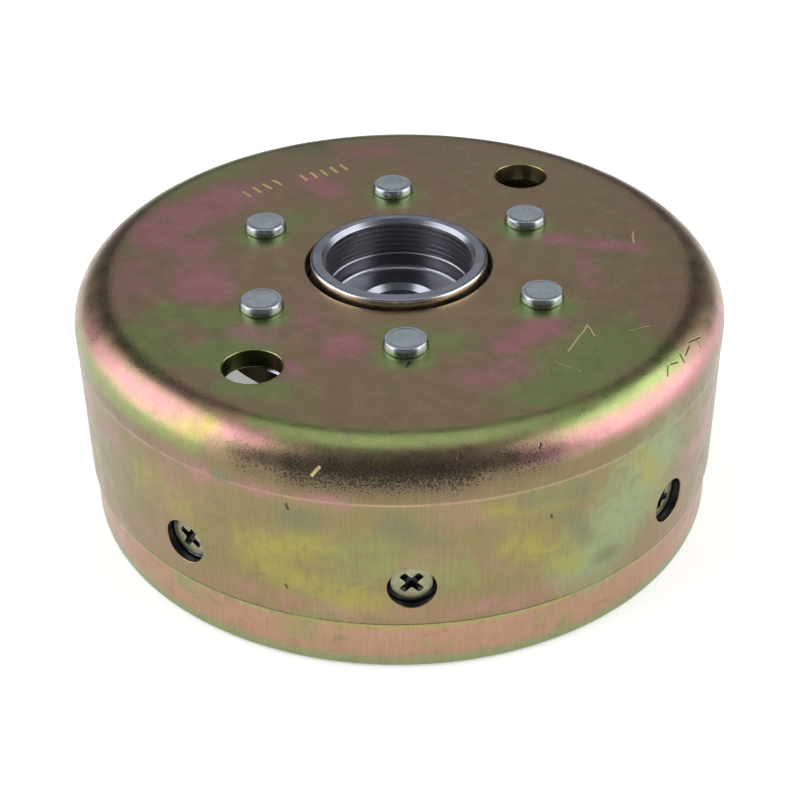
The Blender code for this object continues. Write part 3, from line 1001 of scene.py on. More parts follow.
@dataclass(frozen=True)
class TurnedSteel:
    """Bright turned steel with fine rings from the tool."""

    colour: Colour = (0.27, 0.285, 0.33)
    shade: Colour = (0.18, 0.19, 0.225)
    # Painted shade: a darker, less blue colour inside the bore and thread.
    bore: Colour = (0.24, 0.23, 0.255)
    # Painted reflection of the cup's top sheet on the lip's outer wall.
    rubbed: Colour = (0.60, 0.55, 0.48)
    bore_shade_mark: str = "bore"
    sheet_reflection_mark: str = "rubbed"

    def make(self) -> bpy.types.Material:
        """Build the material.

        Returns:
            The material.
        """
        g = Graph("turned_steel")
        parts = g.add("SeparateXYZ", {}, g.coords)
        flat = g.add("CombineXYZ", {}, parts.outputs[0], parts.outputs[1], 0.0).outputs[0]
        reach = g.vector("LENGTH", flat)
        rings = g.add("CombineXYZ", {}, reach, 0.0, parts.outputs[2]).outputs[0]
        lines = g.noise(0.16, 2, 0.6, rings)
        cloud = g.noise(5, 4, 0.6)
        colour = g.mix(g.scale(cloud, 0.3, 0.7, 0.0, 0.6), self.colour, self.shade)
        bore = g.mark(self.bore_shade_mark)
        # Painted shade inside the bore.
        colour = g.mix(bore, colour, self.bore)
        colour = g.mix(g.mark(self.sheet_reflection_mark), colour, self.rubbed)
        rough = g.maths("MULTIPLY_ADD", bore, 0.06, g.scale(cloud, 0.3, 0.7, 0.20, 0.32))
        normal = g.bump(lines, 0.006)
        return g.done(colour, rough, normal)


@dataclass(frozen=True)
class BrightZinc:
    """Clear zinc plate, faintly blue."""

    colour: Colour = (0.42, 0.465, 0.51)
    shade: Colour = (0.30, 0.34, 0.38)

    def make(self) -> bpy.types.Material:
        """Build the material.

        Returns:
            The material.
        """
        g = Graph("rivet_zinc")
        cloud = g.noise(1.6, 4, 0.65)
        colour = g.mix(g.scale(cloud, 0.3, 0.7, 0.0, 0.8), self.colour, self.shade)
        rough = g.scale(g.noise(0.7, 3, 0.6), 0.3, 0.7, 0.20, 0.32)
        normal = g.bump(g.noise(0.5, 3, 0.6), 0.02)
        return g.done(colour, rough, normal)


@dataclass(frozen=True)
class ScrewZinc:
    """Dull yellowish zinc plate."""

    colour: Colour = (0.36, 0.35, 0.22)
    shade: Colour = (0.24, 0.23, 0.15)

    def make(self) -> bpy.types.Material:
        """Build the material.

        Returns:
            The material.
        """
        g = Graph("screw_zinc")
        cloud = g.noise(0.9, 4, 0.65)
        colour = g.mix(g.scale(cloud, 0.35, 0.65, 0.0, 0.8), self.colour, self.shade)
        rough = g.scale(g.noise(0.5, 3, 0.6), 0.3, 0.7, 0.34, 0.5)
        normal = g.bump(g.noise(0.35, 3, 0.6), 0.02)
        return g.done(colour, rough, normal)


@dataclass(frozen=True)
class BareSteel:
    """Cut steel with no plating, with a faint oily darkening."""

    name: str
    colour: Colour
    shade: Colour

    def make(self) -> bpy.types.Material:
        """Build the material.

        Returns:
            The material.
        """
        g = Graph(self.name)
        cloud = g.noise(2.5, 4, 0.6)
        colour = g.mix(g.scale(cloud, 0.3, 0.7, 0.0, 1.0), self.colour, self.shade)
        rough = g.scale(g.noise(1.2, 3, 0.6), 0.3, 0.7, 0.25, 0.42)
        normal = g.bump(g.noise(0.25, 2, 0.6), 0.008)
        return g.done(colour, rough, normal)


@dataclass(frozen=True)
class Ferrite:
    """Dark pressed ceramic."""

    colour: Colour = (0.035, 0.035, 0.04)
    chalk: Colour = (0.075, 0.075, 0.08)

    def make(self) -> bpy.types.Material:
        """Build the material.

        Returns:
            The material.
        """
        g = Graph("ferrite")
        cloud = g.noise(2.0, 5, 0.7)
        colour = g.mix(cloud, self.colour, self.chalk)
        rough = g.scale(cloud, 0.3, 0.7, 0.62, 0.8)
        normal = g.bump(g.noise(0.3, 3, 0.7), 0.03)
        return g.done(colour, rough, normal, 0.0)


# ---------------------------------------------------------------- pieces


@dataclass
class RotorCup:
    """The drawn cup: top sheet, shoulder, wall, band and rim, with all its holes.

    Its sizes, like those of every other piece, are in millimetres and its angles in degrees. A
    window's two numbers are half its depth, in millimetres, and half its width, in degrees.
    """

    columns: int = 360
    turned_cut: float = 0.07
    turned_top: float = 34.1
    shoulder: float = 6.9
    band_top: float = 9.6
    band_step: float = 0.5
    band_round: float = 0.16
    rim_round: float = 1.0
    inner_rim_round: float = 0.6
    wall: float = 4.0
    sheet: float = 3.5
    inner_fillet: float = 3.4
    opening: float = 16.65
    opening_round: float = 0.3
    access_radius: float = 5.0
    access_pitch: float = 41.0
    access_angles: tuple[float, float] = (54.2, 234.2)
    rivet_hole: float = 3.15
    well_radius: float = 4.0
    well_floor: float = 56.1
    screw_hole: float = 2.3
    mouth_round: float = 0.25
    well_round: float = 0.15
    well_reach: int = 6
    access_window: tuple[float, float] = (7.4, 10.0)
    rivet_window: tuple[float, float] = (4.6, 9.0)
    sheet_row: float = 1.05
    turned_rise: float = 0.15
    turned_fall: float = 0.05
    inner_row: float = 2.0
    under_chamfer: float = 0.2
    halo_half: float = 1.0
    halo_shift: float = 2.5
    halo_reach: float = 8.0
    halo_force: float = 1.5

    def outline(self, low: float, top: float, outer: float, well_rows: Sequence[float]) -> Outline:
        """The cup's closed outline, from the hub opening over the shoulder to the rim and back inside.

        Args:
            low: The rim's height.
            top: The top sheet's height.
            outer: The wall's radius.
            well_rows: Heights of the rows that cross the screw wells, lowest first.

        Returns:
            The outline.
        """
        inside = self.opening + self.opening_round
        start = outer - self.shoulder
        radii = spaced(inside, start, self.sheet_row)
        turned, bore, under = outer - self.turned_cut, outer - self.wall, top - self.sheet
        above, below = self.turned_top + self.turned_rise, self.turned_top - self.turned_fall
        line = Outline()
        line.add(arc((inside, top - self.opening_round), self.opening_round, 180, 90, 4))
        line.add((r, top) for r in radii)
        line.add(arc((start, top - self.shoulder), self.shoulder, 90, 0, 22))
        line.add((outer, z) for z in spaced(top - self.shoulder, above, 0.9))
        line.add([(outer, above), (turned, below)])
        line.add((turned, z) for z in spaced(below, well_rows[-1], 1.0))
        line.add((turned, z) for z in reversed(well_rows))
        edge, band = self.band_round, outer - self.band_step
        line.add(arc((turned - edge, self.band_top + edge), edge, 0, -80, 4))
        line.add([(band + edge * 0.4, self.band_top - 0.02), (band, self.band_top - edge)])
        line.add((band, z) for z in spaced(self.band_top - edge, low + self.rim_round, 1.3))
        line.add(arc((band - self.rim_round, low + self.rim_round), self.rim_round, 0, -90, 6))
        inner = self.inner_rim_round
        line.add(arc((bore + inner, low + inner), inner, -90, -180, 4))
        ceiling = under - self.inner_fillet
        line.add((bore, z) for z in spaced(low + inner, well_rows[0], self.inner_row))
        line.add((bore, z) for z in well_rows)
        line.add((bore, z) for z in spaced(well_rows[-1], ceiling, self.inner_row))
        line.add(arc((bore - self.inner_fillet, ceiling), self.inner_fillet, 0, 90, 7))
        line.add((r, under) for r in reversed(radii) if r < bore - self.inner_fillet - 0.5)
        mouth = self.under_chamfer
        line.add([(self.opening + mouth, under), (self.opening, under + mouth)])
        return line

    def build(self) -> bpy.types.Object:
        """Make the cup.

        Returns:
            The cup.
        """
        low, high = node_box("rotor_cup")
        screw_height = node_middle("magnet_screw_1").z
        reach = self.well_reach
        well_rows = [screw_height - reach + k for k in range(2 * reach + 1)]
        turned, bore, under = high.x - self.turned_cut, high.x - self.wall, high.z - self.sheet
        line = self.outline(low.z, high.z, high.x, well_rows)
        blank = Blank()
        access = (self.access_radius, self.access_window)
        sheet_holes = [(self.access_pitch, angle, *access) for angle in self.access_angles]
        for name in nodes_like("rivet_"):
            pitch = node_middle(name).xy.length
            sheet_holes.append((pitch, node_angle(name), self.rivet_hole, self.rivet_window))
        sheet_windows = [
            [
                line.window(self.columns, angle, wide, (pitch - margin, z), (pitch + margin, z))
                for z in (high.z, under)
            ]
            for pitch, angle, _, (margin, wide) in sheet_holes
        ]
        screws = [node_angle(name) for name in nodes_like("magnet_screw_")]
        ends = (well_rows[0], well_rows[-1])
        wall_windows = [
            [
                line.window(self.columns, angle, reach, (radius, ends[0]), (radius, ends[1]))
                for radius in (turned, bore)
            ]
            for angle in screws
        ]
        every = [window for pair in sheet_windows + wall_windows for window in pair]
        skin = Skin(blank, line.points, self.columns, every)
        for (pitch, angle, radius, _), pair in zip(sheet_holes, sheet_windows):
            self.punch(blank, skin, outwards(angle) * pitch, radius, high.z, pair)
        for angle, pair in zip(screws, wall_windows):
            self.sink(blank, skin, outwards(angle), screw_height, turned, pair)
        self.tint(blank, high.z, high.x)
        chromate = Chromate().make(self, high.z, high.x)
        # The insides of the wells are near black: painted shade in the wells.
        well = BareSteel("shaded_well", colour=(0.13, 0.135, 0.16), shade=(0.04, 0.04, 0.05)).make()
        return blank.piece("rotor_cup", Slot.CUP, [chromate, well])

    def on_wall(self, place: tuple[float, float], top: float, wall: float) -> Vector:
        """A point of the wall or the shoulder.

        Args:
            place: Its angle in degrees and its height.
            top: The top sheet's height.
            wall: The wall's radius.

        Returns:
            The point.
        """
        rise = max(0.0, place[1] - (top - self.shoulder))
        reach = wall - self.shoulder + math.sqrt(self.shoulder**2 - rise**2)
        return outwards(place[0]) * reach + Vector((0, 0, place[1]))

    def tint(self, blank: Blank, top: float, wall: float) -> None:
        """Mark how strongly each point takes each tint.

        Args:
            blank: The cup's blank.
            top: The top sheet's height.
            wall: The wall's radius.
        """
        places = np.array([point[:] for point in blank.points])
        x, y, z = places.T
        reach = np.hypot(x, y)
        middle, start = top - self.shoulder, wall - self.shoulder
        lean = np.arctan2(np.maximum(z - middle, 0), np.maximum(reach - start, 0.01))
        inside = np.maximum(start - reach, 0)
        run = np.where(z > middle, middle + self.shoulder * lean + inside, z)
        turn = math.radians(1) * wall
        rolled = np.column_stack((np.degrees(np.arctan2(y, x)) % 360 * turn, run))
        behind = np.column_stack(((rolled[:, 0] + BACK_TURN * turn) % (360 * turn), run))
        sheet_patches = [*SHEET_PATCHES]
        for rivet in map(node_middle, nodes_like("rivet_")):
            left, right, front = rivet.x - self.halo_half, rivet.x + self.halo_half, rivet.y - self.halo_shift
            halo = Patch(Tint.GREEN, (left, front), (right, front), self.halo_reach, self.halo_force)
            sheet_patches.append(halo)
        flat, upper = places[:, :2], z > middle
        for tint in Tint:
            layers = [p.strength(flat) * upper for p in sheet_patches if p.tint is tint]
            for patch in (p for p in WALL_PATCHES if p.tint is tint):
                layers += [patch.strength(side, turn) for side in (rolled, behind)]
            blank.marks[tint.value] = np.max(layers, axis=0)

    def punch(
        self,
        blank: Blank,
        skin: Skin,
        centre: Vector,
        radius: float,
        top: float,
        pair: Sequence[Window],
    ) -> None:
        """Punch a hole through the top sheet.

        Args:
            blank: The cup's blank.
            skin: The cup's skin.
            centre: The hole's centre, at height 0.
            radius: The hole's radius.
            top: The sheet's upper face.
            pair: The hole's windows in the upper face and under it.
        """
        drilling = Drilling(centre, Vector((0, 0, 1)), Vector((1, 0, 0)))
        edge = self.mouth_round
        rings, angles = drilling.lead_in(blank, skin.border(pair[0]), radius + edge, level(top), 5)
        under = top - self.sheet
        tunnel = arc((radius + edge, top - edge), edge, 90, 180, 4)[1:] + [(radius, under + edge)]
        rings += [drilling.circle(blank, reach, angles, level(height)) for reach, height in tunnel]
        below = drilling.lead_in(blank, skin.border(pair[1]), radius + edge, level(under), 3)[0]
        blank.loft(rings)
        blank.loft(below)
        blank.weld(rings[-1], below[-1])

    def sink(
        self,
        blank: Blank,
        skin: Skin,
        away: Vector,
        height: float,
        wall: float,
        pair: Sequence[Window],
    ) -> None:
        """Sink a screw's well into the wall, with its seat and its clearance hole.

        Args:
            blank: The cup's blank.
            skin: The cup's skin.
            away: The way that the screw looks.
            height: The height of the screw's axis.
            wall: The wall's turned radius.
            pair: The well's windows in the wall and in the bore.
        """
        drilling = Drilling(Vector((0, 0, height)), away, Vector((0, 0, 1)).cross(away))
        edge = self.well_round
        bore = wall + self.turned_cut - self.wall
        mouth = self.well_radius + edge
        rings, angles = drilling.lead_in(blank, skin.border(pair[0]), mouth, round_wall(wall), 5)
        for reach, drop in arc((mouth, -edge), edge, 90, 180, 3)[1:]:
            rings.append(drilling.circle(blank, reach, angles, round_wall(wall + drop)))
        blank.loft(rings)
        seat = self.well_radius - self.screw_hole
        deep = [rings[-1]]
        for reach, depth in ((self.well_radius, self.well_floor), (self.screw_hole, self.well_floor - seat)):
            deep.append(drilling.circle(blank, reach, angles, level(depth)))
        blank.loft(deep, 1)
        under = drilling.lead_in(blank, skin.border(pair[1]), self.screw_hole, round_wall(bore), 4)[0]
        blank.loft(under)
        blank.weld(deep[-1], under[-1], 1)


@dataclass
class Hub:
    """The turned hub: lip, puller thread, pocket, taper bore with its keyway, boss and rivet flange."""

    columns: int = 180
    lip_radius: float = 15.8
    lip_round: float = 0.6
    lip_land: float = 1.45
    thread_radius: float = 12.95
    thread_depth: float = 0.10
    thread_pitch: float = 1.0
    thread_length: float = 6.7
    thread_rows: int = 12
    mouth_chamfer: float = 0.8
    pocket_radius: float = 12.75
    pocket_depth: float = 9.9
    pocket_fillet: float = 0.9
    bore_chamfer: float = 1.0
    taper_small: float = 6.2
    taper_slope: float = 0.1
    keyway_half: float = 2.0
    keyway_depth: float = 1.8
    keyway_columns: int = 7
    keyway_angle: float = 270.0
    boss_radius: float = 19.0
    boss_chamfer: float = 0.8
    boss_fillet: float = 2.5
    flange_drop: float = 5.3
    flange_thick: float = 4.5
    flange_chamfer: float = 0.5
    rivet_hole: float = 3.15
    rivet_window: tuple[float, float] = (4.3, 9.5)
    lip_root: float = 0.4
    thread_runout: float = 0.6
    end_chamfer: float = 0.5
    floor_rows: tuple[float, ...] = (11.0, 9.8, 8.6)
    foot_rows: tuple[float, ...] = (13.0, 15.5)
    flange_rows: tuple[float, ...] = (20.0, 18.0)

    def taper(self, drop: float) -> float:
        """The bore's radius that far below the pocket's floor; the crankshaft's cone widens downwards."""
        return self.taper_small + self.taper_slope * max(0.0, drop - self.bore_chamfer)

    def outline(self, foot: float, top: float, flange: float) -> Outline:
        """The hub's closed outline.

        Args:
            foot: The height of the boss's lower end.
            top: The height of the lip.
            flange: The flange's radius.

        Returns:
            The outline, from the flange's upper face over the lip, down the bore and back up outside.
        """
        line = Outline()
        lip, small = self.lip_radius, self.lip_round
        upper, floor, end = top - self.flange_drop, top - self.pocket_depth, top - self.thread_length
        lower = upper - self.flange_thick
        root = self.lip_root
        line.add([(lip + root, upper), (lip + root / 4, upper + root / 4), (lip, upper + root)])
        line.add((lip, z) for z in spaced(upper + root, top - small, 1.0))
        line.add(arc((lip - small, top - small), small, 0, 90, 6))
        land = lip - small - self.lip_land
        line.add([((lip - small + land) / 2, top), (land, top)])
        heights = spaced(top, end, self.thread_pitch / self.thread_rows)
        line.add((self.mouth(z, top), z) for z in heights)
        step = self.thread_radius - self.pocket_radius
        line.add([(self.thread_radius, end), (self.pocket_radius, end - step)])
        corner = floor + self.pocket_fillet
        line.add((self.pocket_radius, z) for z in spaced(end - step, corner, 0.7))
        line.add(arc((self.pocket_radius - self.pocket_fillet, corner), self.pocket_fillet, 0, -90, 7))
        line.add((r, floor) for r in self.floor_rows)
        chamfer, depth = self.bore_chamfer, floor - foot
        line.add([(self.taper_small + chamfer, floor), (self.taper_small, floor - chamfer)])
        ease, wide = self.end_chamfer, self.taper(depth)
        line.add((self.taper(drop), floor - drop) for drop in spaced(chamfer, depth - ease, 2.0))
        line.add([(wide, foot + ease), (wide + ease, foot)])
        line.add((r, foot) for r in (*self.foot_rows, self.boss_radius - self.boss_chamfer))
        line.add([(self.boss_radius, foot + self.boss_chamfer)])
        shelf = lower - self.boss_fillet
        line.add((self.boss_radius, z) for z in spaced(foot + self.boss_chamfer, shelf, 2.0))
        line.add(arc((self.boss_radius + self.boss_fillet, shelf), self.boss_fillet, 180, 90, 6))
        edge = flange - self.flange_chamfer
        radii = spaced(self.boss_radius + self.boss_fillet, edge, 0.9)
        line.add((r, lower) for r in radii)
        line.add([(edge, lower), (flange, lower + self.flange_chamfer)])
        line.add([(flange, upper - self.flange_chamfer), (edge, upper)])
        line.add((r, upper) for r in (*reversed(radii), *self.flange_rows))
        return line

    def mouth(self, height: float, top: float) -> float:
        """The thread's radius at its crests, with the chamfer of its mouth."""
        return self.thread_radius + max(0.0, self.mouth_chamfer - (top - height))

    def build(self) -> bpy.types.Object:
        """Make the hub.

        Returns:
            The hub.
        """
        low, high = node_box("hub")
        line = self.outline(low.z, high.z, high.x)
        turn = math.tau / self.columns
        key = round(math.radians(self.keyway_angle) / turn)
        floor, end = high.z - self.pocket_depth, high.z - self.thread_length
        upper = high.z - self.flange_drop
        key_rows = range(
            line.near(self.taper_small + self.bore_chamfer, floor),
            line.near(self.taper(floor - low.z) + self.end_chamfer, low.z) + 1,
        )

        def place(column: int, row: int, radius: float, height: float) -> Vector:
            """A point of the hub, with the thread and the keyway cut into the turned form.

            Args:
                column: Its column.
                row: Its row in the section.
                radius: Its radius in the section.
                height: Its height.

            Returns:
                The point.
            """
            angle = turn * column
            if end < height < high.z and radius < self.lip_radius - self.lip_land:
                fade = min(1.0, (height - end) / self.thread_runout)
                groove = thread_wave(height / self.thread_pitch - column / self.columns) * fade
                radius = max(radius, self.thread_radius + self.thread_depth * groove)
            side = (column - key + self.columns // 2) % self.columns - self.columns // 2
            if row in key_rows and abs(side) <= 3 * self.keyway_columns:
                return self.keyed(side, radius, height, floor - height)
            return Vector((radius * math.cos(angle), radius * math.sin(angle), height))

        holes = []
        margin, wide = self.rivet_window
        for name in nodes_like("rivet_"):
            pitch, angle = node_middle(name).xy.length, node_angle(name)
            pair = [
                line.window(self.columns, angle, wide, (pitch - margin, z), (pitch + margin, z))
                for z in (upper, upper - self.flange_thick)
            ]
            holes.append((outwards(angle) * pitch, pair))
        blank = Blank()
        skin = Skin(blank, line.points, self.columns, [w for _, pair in holes for w in pair], place)
        for centre, pair in holes:
            drilling = Drilling(centre, Vector((0, 0, 1)), Vector((1, 0, 0)))
            ends = [
                drilling.lead_in(blank, skin.border(window), self.rivet_hole, level(z), 3)[0]
                for window, z in zip(pair, (upper, upper - self.flange_thick))
            ]
            for rings in ends:
                blank.loft(rings)
            blank.weld(ends[0][-1], ends[1][-1])
        steel = TurnedSteel()
        x, y, z = np.array([point[:] for point in blank.points]).T
        reach = np.hypot(x, y)
        # The bore and thread take a darker colour, which is painted shade.
        bore = (reach < self.lip_radius - self.lip_land) & (z < high.z - self.mouth_chamfer)
        blank.marks[steel.bore_shade_mark] = (bore & (z > floor + self.pocket_fillet / 2)).astype(float)
        # The lip's outer wall takes a painted reflection of the top sheet.
        lip_wall = np.abs(reach - self.lip_radius) < self.lip_round / 2
        blank.marks[steel.sheet_reflection_mark] = (lip_wall & (z < high.z - self.lip_round / 3)).astype(float)
        return blank.piece("hub", Slot.HUB, [steel.make()])

    def keyed(self, side: int, radius: float, height: float, drop: float) -> Vector:
        """A point of the bore beside or in the keyway.

        Args:
            side: How many columns it is from the keyway's middle.
            radius: The bore's radius there.
            height: The point's height.
            drop: How far that is below the pocket's floor.

        Returns:
            The point, on the keyway's floor, on its edge or on the bore beside it.
        """
        away = outwards(self.keyway_angle)
        across = Vector((0, 0, 1)).cross(away)
        half, last = self.keyway_half, self.keyway_columns
        level_with = Vector((0, 0, height))
        if abs(side) <= last:
            reach = max(self.taper(drop) + self.keyway_depth, radius)
            return away * reach + across * (half * side / last) + level_with
        edge = math.asin(half / radius)
        far = 3 * last
        plain = math.tau / self.columns * far
        share = (abs(side) - last - 1) / (far - last - 1)
        angle = math.copysign(edge + (plain - edge) * share, side)
        return away * (radius * math.cos(angle)) + across * (radius * math.sin(angle)) + level_with


@dataclass
class Rivets:
    """The six rivets that hold the cup to the hub's flange."""

    columns: int = 48
    grip: float = 8.3
    shank: float = 3.05
    head: float = 3.85
    head_lean: float = 0.25
    head_round: float = 0.16
    foot: float = 4.7
    foot_round: float = 1.1
    imprint: float = 2.75
    imprint_depth: float = 0.06
    bearing: float = 0.04
    side_bottom: float = 0.18
    side_top: float = 0.36
    tuck: float = 0.1
    ease: float = 0.05

    def outline(self, low: float, top: float, sheet: float) -> Profile:
        """A rivet's outline.

        Args:
            low: The height of its foot.
            top: The height of its head.
            sheet: The height of the cup's top sheet.

        Returns:
            The outline, from the middle of its head to the middle of its foot.
        """
        flange = sheet - self.grip
        mark, deep = self.imprint, self.imprint_depth
        line = [(0.0, top - deep * 0.6), (mark - 0.6, top - deep * 0.6), (mark - 0.1, top - deep)]
        line += [(mark + 0.1, top - deep), (mark + 0.3, top)]
        small, rim = self.head_round, self.head - self.head_lean
        line += arc((rim - small, top - small), small, 90, 20, 4)
        seat, foot_seat, ease = sheet + self.bearing, flange - self.bearing, self.ease
        line += [(self.head, sheet + self.side_top), (self.head - 0.02, sheet + self.side_bottom)]
        line += [(self.head - self.tuck, seat), (self.shank + ease, seat), (self.shank, sheet - 0.1)]
        line += [(self.shank, flange + ease), (self.shank + ease, foot_seat)]
        line += [(self.foot - 0.2, foot_seat), (self.foot, flange - 0.3)]
        line += arc((self.foot - self.foot_round, low + self.foot_round), self.foot_round, 0, -90, 6)
        return line + [(1.2, low + 0.02), (0.0, low + 0.1)]

    def build(self) -> None:
        """Make every rivet."""
        material = BrightZinc().make()
        sheet = node_box("rotor_cup")[1].z
        for name in nodes_like("rivet_"):
            low, high = node_box(name)
            blank = Blank()
            centre = (low + high) / 2
            axis = Drilling(Vector((centre.x, centre.y, 0)), Vector((0, 0, 1)), outwards(node_angle(name)))
            axis.spin(blank, self.outline(low.z, high.z, sheet), self.columns)
            blank.piece(name, Slot.RIVET, [material])


@dataclass
class PoleScrews:
    """The eight countersunk screws that draw the pole shoes against the magnets."""

    points: int = 48
    head: float = 3.5
    head_land: float = 0.3
    head_round: float = 0.14
    shank: float = 2.0
    thread_depth: float = 0.35
    thread_pitch: float = 0.7
    thread_rows: int = 6
    tip_chamfer: float = 0.4
    arm_reach: float = 2.15
    arm_half: float = 0.62
    recess_depth: float = 1.35
    recess_tip: float = 0.12
    arm_tip: float = 0.26
    arm_root: float = 0.3
    run_in: float = 0.4
    tip_rise: float = 0.1
    tip_round: float = 0.15
    turns: tuple[float, ...] = (12, 70, 35, 82, 62, 45, 66, 28)

    def cross(self, share: float) -> Profile:
        """The outline of the cross recess.

        Args:
            share: How much of its full reach it has left.

        Returns:
            Points round the cross, starting at the tip of one arm.
        """
        reach, half = self.arm_reach * share, self.arm_half * (0.55 + 0.45 * share)
        tip, root = self.arm_tip * share, self.arm_root * share
        middle = reach * 0.55 + (half + root) * 0.45
        quarter: Profile = [(reach, 0.0)]
        quarter += arc((reach - tip, half - tip), tip, 15, 90, 3)
        quarter += [(middle, half)]
        quarter += arc((half + root, half + root), root, 270, 180, 2)
        quarter += [(half, middle)]
        quarter += arc((half - tip, reach - tip), tip, 0, 75, 2)
        line: Profile = []
        for c, s in ((1, 0), (0, 1), (-1, 0), (0, -1)):
            line += [(x * c - y * s, x * s + y * c) for x, y in quarter]
        return line

    def build(self) -> None:
        """Make every screw."""
        # The cross recess is near black: painted shade in the recess.
        recess = BareSteel("recess", colour=(0.05, 0.05, 0.05), shade=(0.02, 0.02, 0.02)).make()
        materials = [ScrewZinc().make(), recess]
        for name, turn in zip(nodes_like("magnet_screw_"), self.turns):
            away = outwards(node_angle(name))
            middle = node_middle(name)
            vertices = [v.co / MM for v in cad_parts[name].data.vertices]
            along = [v.dot(away) for v in vertices]
            start = Matrix.Rotation(math.radians(turn), 3, away) @ Vector((0, 0, 1)).cross(away)
            axis = Drilling(Vector((0, 0, middle.z)), away, start)
            blank = Blank()
            self.shape(blank, axis, max(along), min(along))
            blank.piece(name, Slot.SCREW, materials)

    def shape(self, blank: Blank, axis: Drilling, face: float, tip: float) -> None:
        """Shape one screw.

        Args:
            blank: The screw's blank.
            axis: The screw's axis, its zero on the flywheel's own.
            face: How far out the face of its head lies.
            tip: How far out its tip lies.
        """
        side = axis.out.cross(axis.across)
        depth = self.recess_depth
        recess = []
        for share, drop in ((0.12, depth), (0.42, 1.2), (0.78, 0.8), (0.97, 0.1), (1.03, 0.0)):
            middle = axis.centre + axis.out * (face - drop)
            recess.append(blank.ring(middle + axis.across * x + side * y for x, y in self.cross(share)))
        bottom = blank.ring([axis.centre + axis.out * (face - depth - self.recess_tip)])[0]
        blank.close(recess[0], bottom, 1)
        blank.loft(recess, 1)
        rings = [recess[-1]]
        count = len(rings[0])
        angles = [math.tau * k / count for k in range(count)]
        small, head = self.head_round, self.head
        line = [(head * 0.8, face), (head - small, face)]
        line += arc((head - small, face - small), small, 60, 0, 2)
        land = face - self.head_land
        line += [(head, land), (self.shank, land - (head - self.shank))]
        rings += [axis.circle(blank, r, angles, level(x)) for r, x in line]
        start = land - (head - self.shank) - self.run_in
        for x in spaced(start, tip + self.tip_chamfer, self.thread_pitch / self.thread_rows):
            deep = self.thread_depth * min(1.0, (start - x) / self.thread_pitch)
            waves = [thread_wave(x / self.thread_pitch - angle / math.tau) for angle in angles]
            spots = [axis.spot(self.shank - deep * w, a, level(x)) for w, a in zip(waves, angles)]
            rings.append(blank.ring(spots))
        core = self.shank - self.thread_depth
        rings.append(axis.circle(blank, core, angles, level(tip + self.tip_rise)))
        rings.append(axis.circle(blank, core - self.tip_round, angles, level(tip)))
        blank.loft(rings)
        blank.close(rings[-1], blank.ring([axis.centre + axis.out * tip])[0])


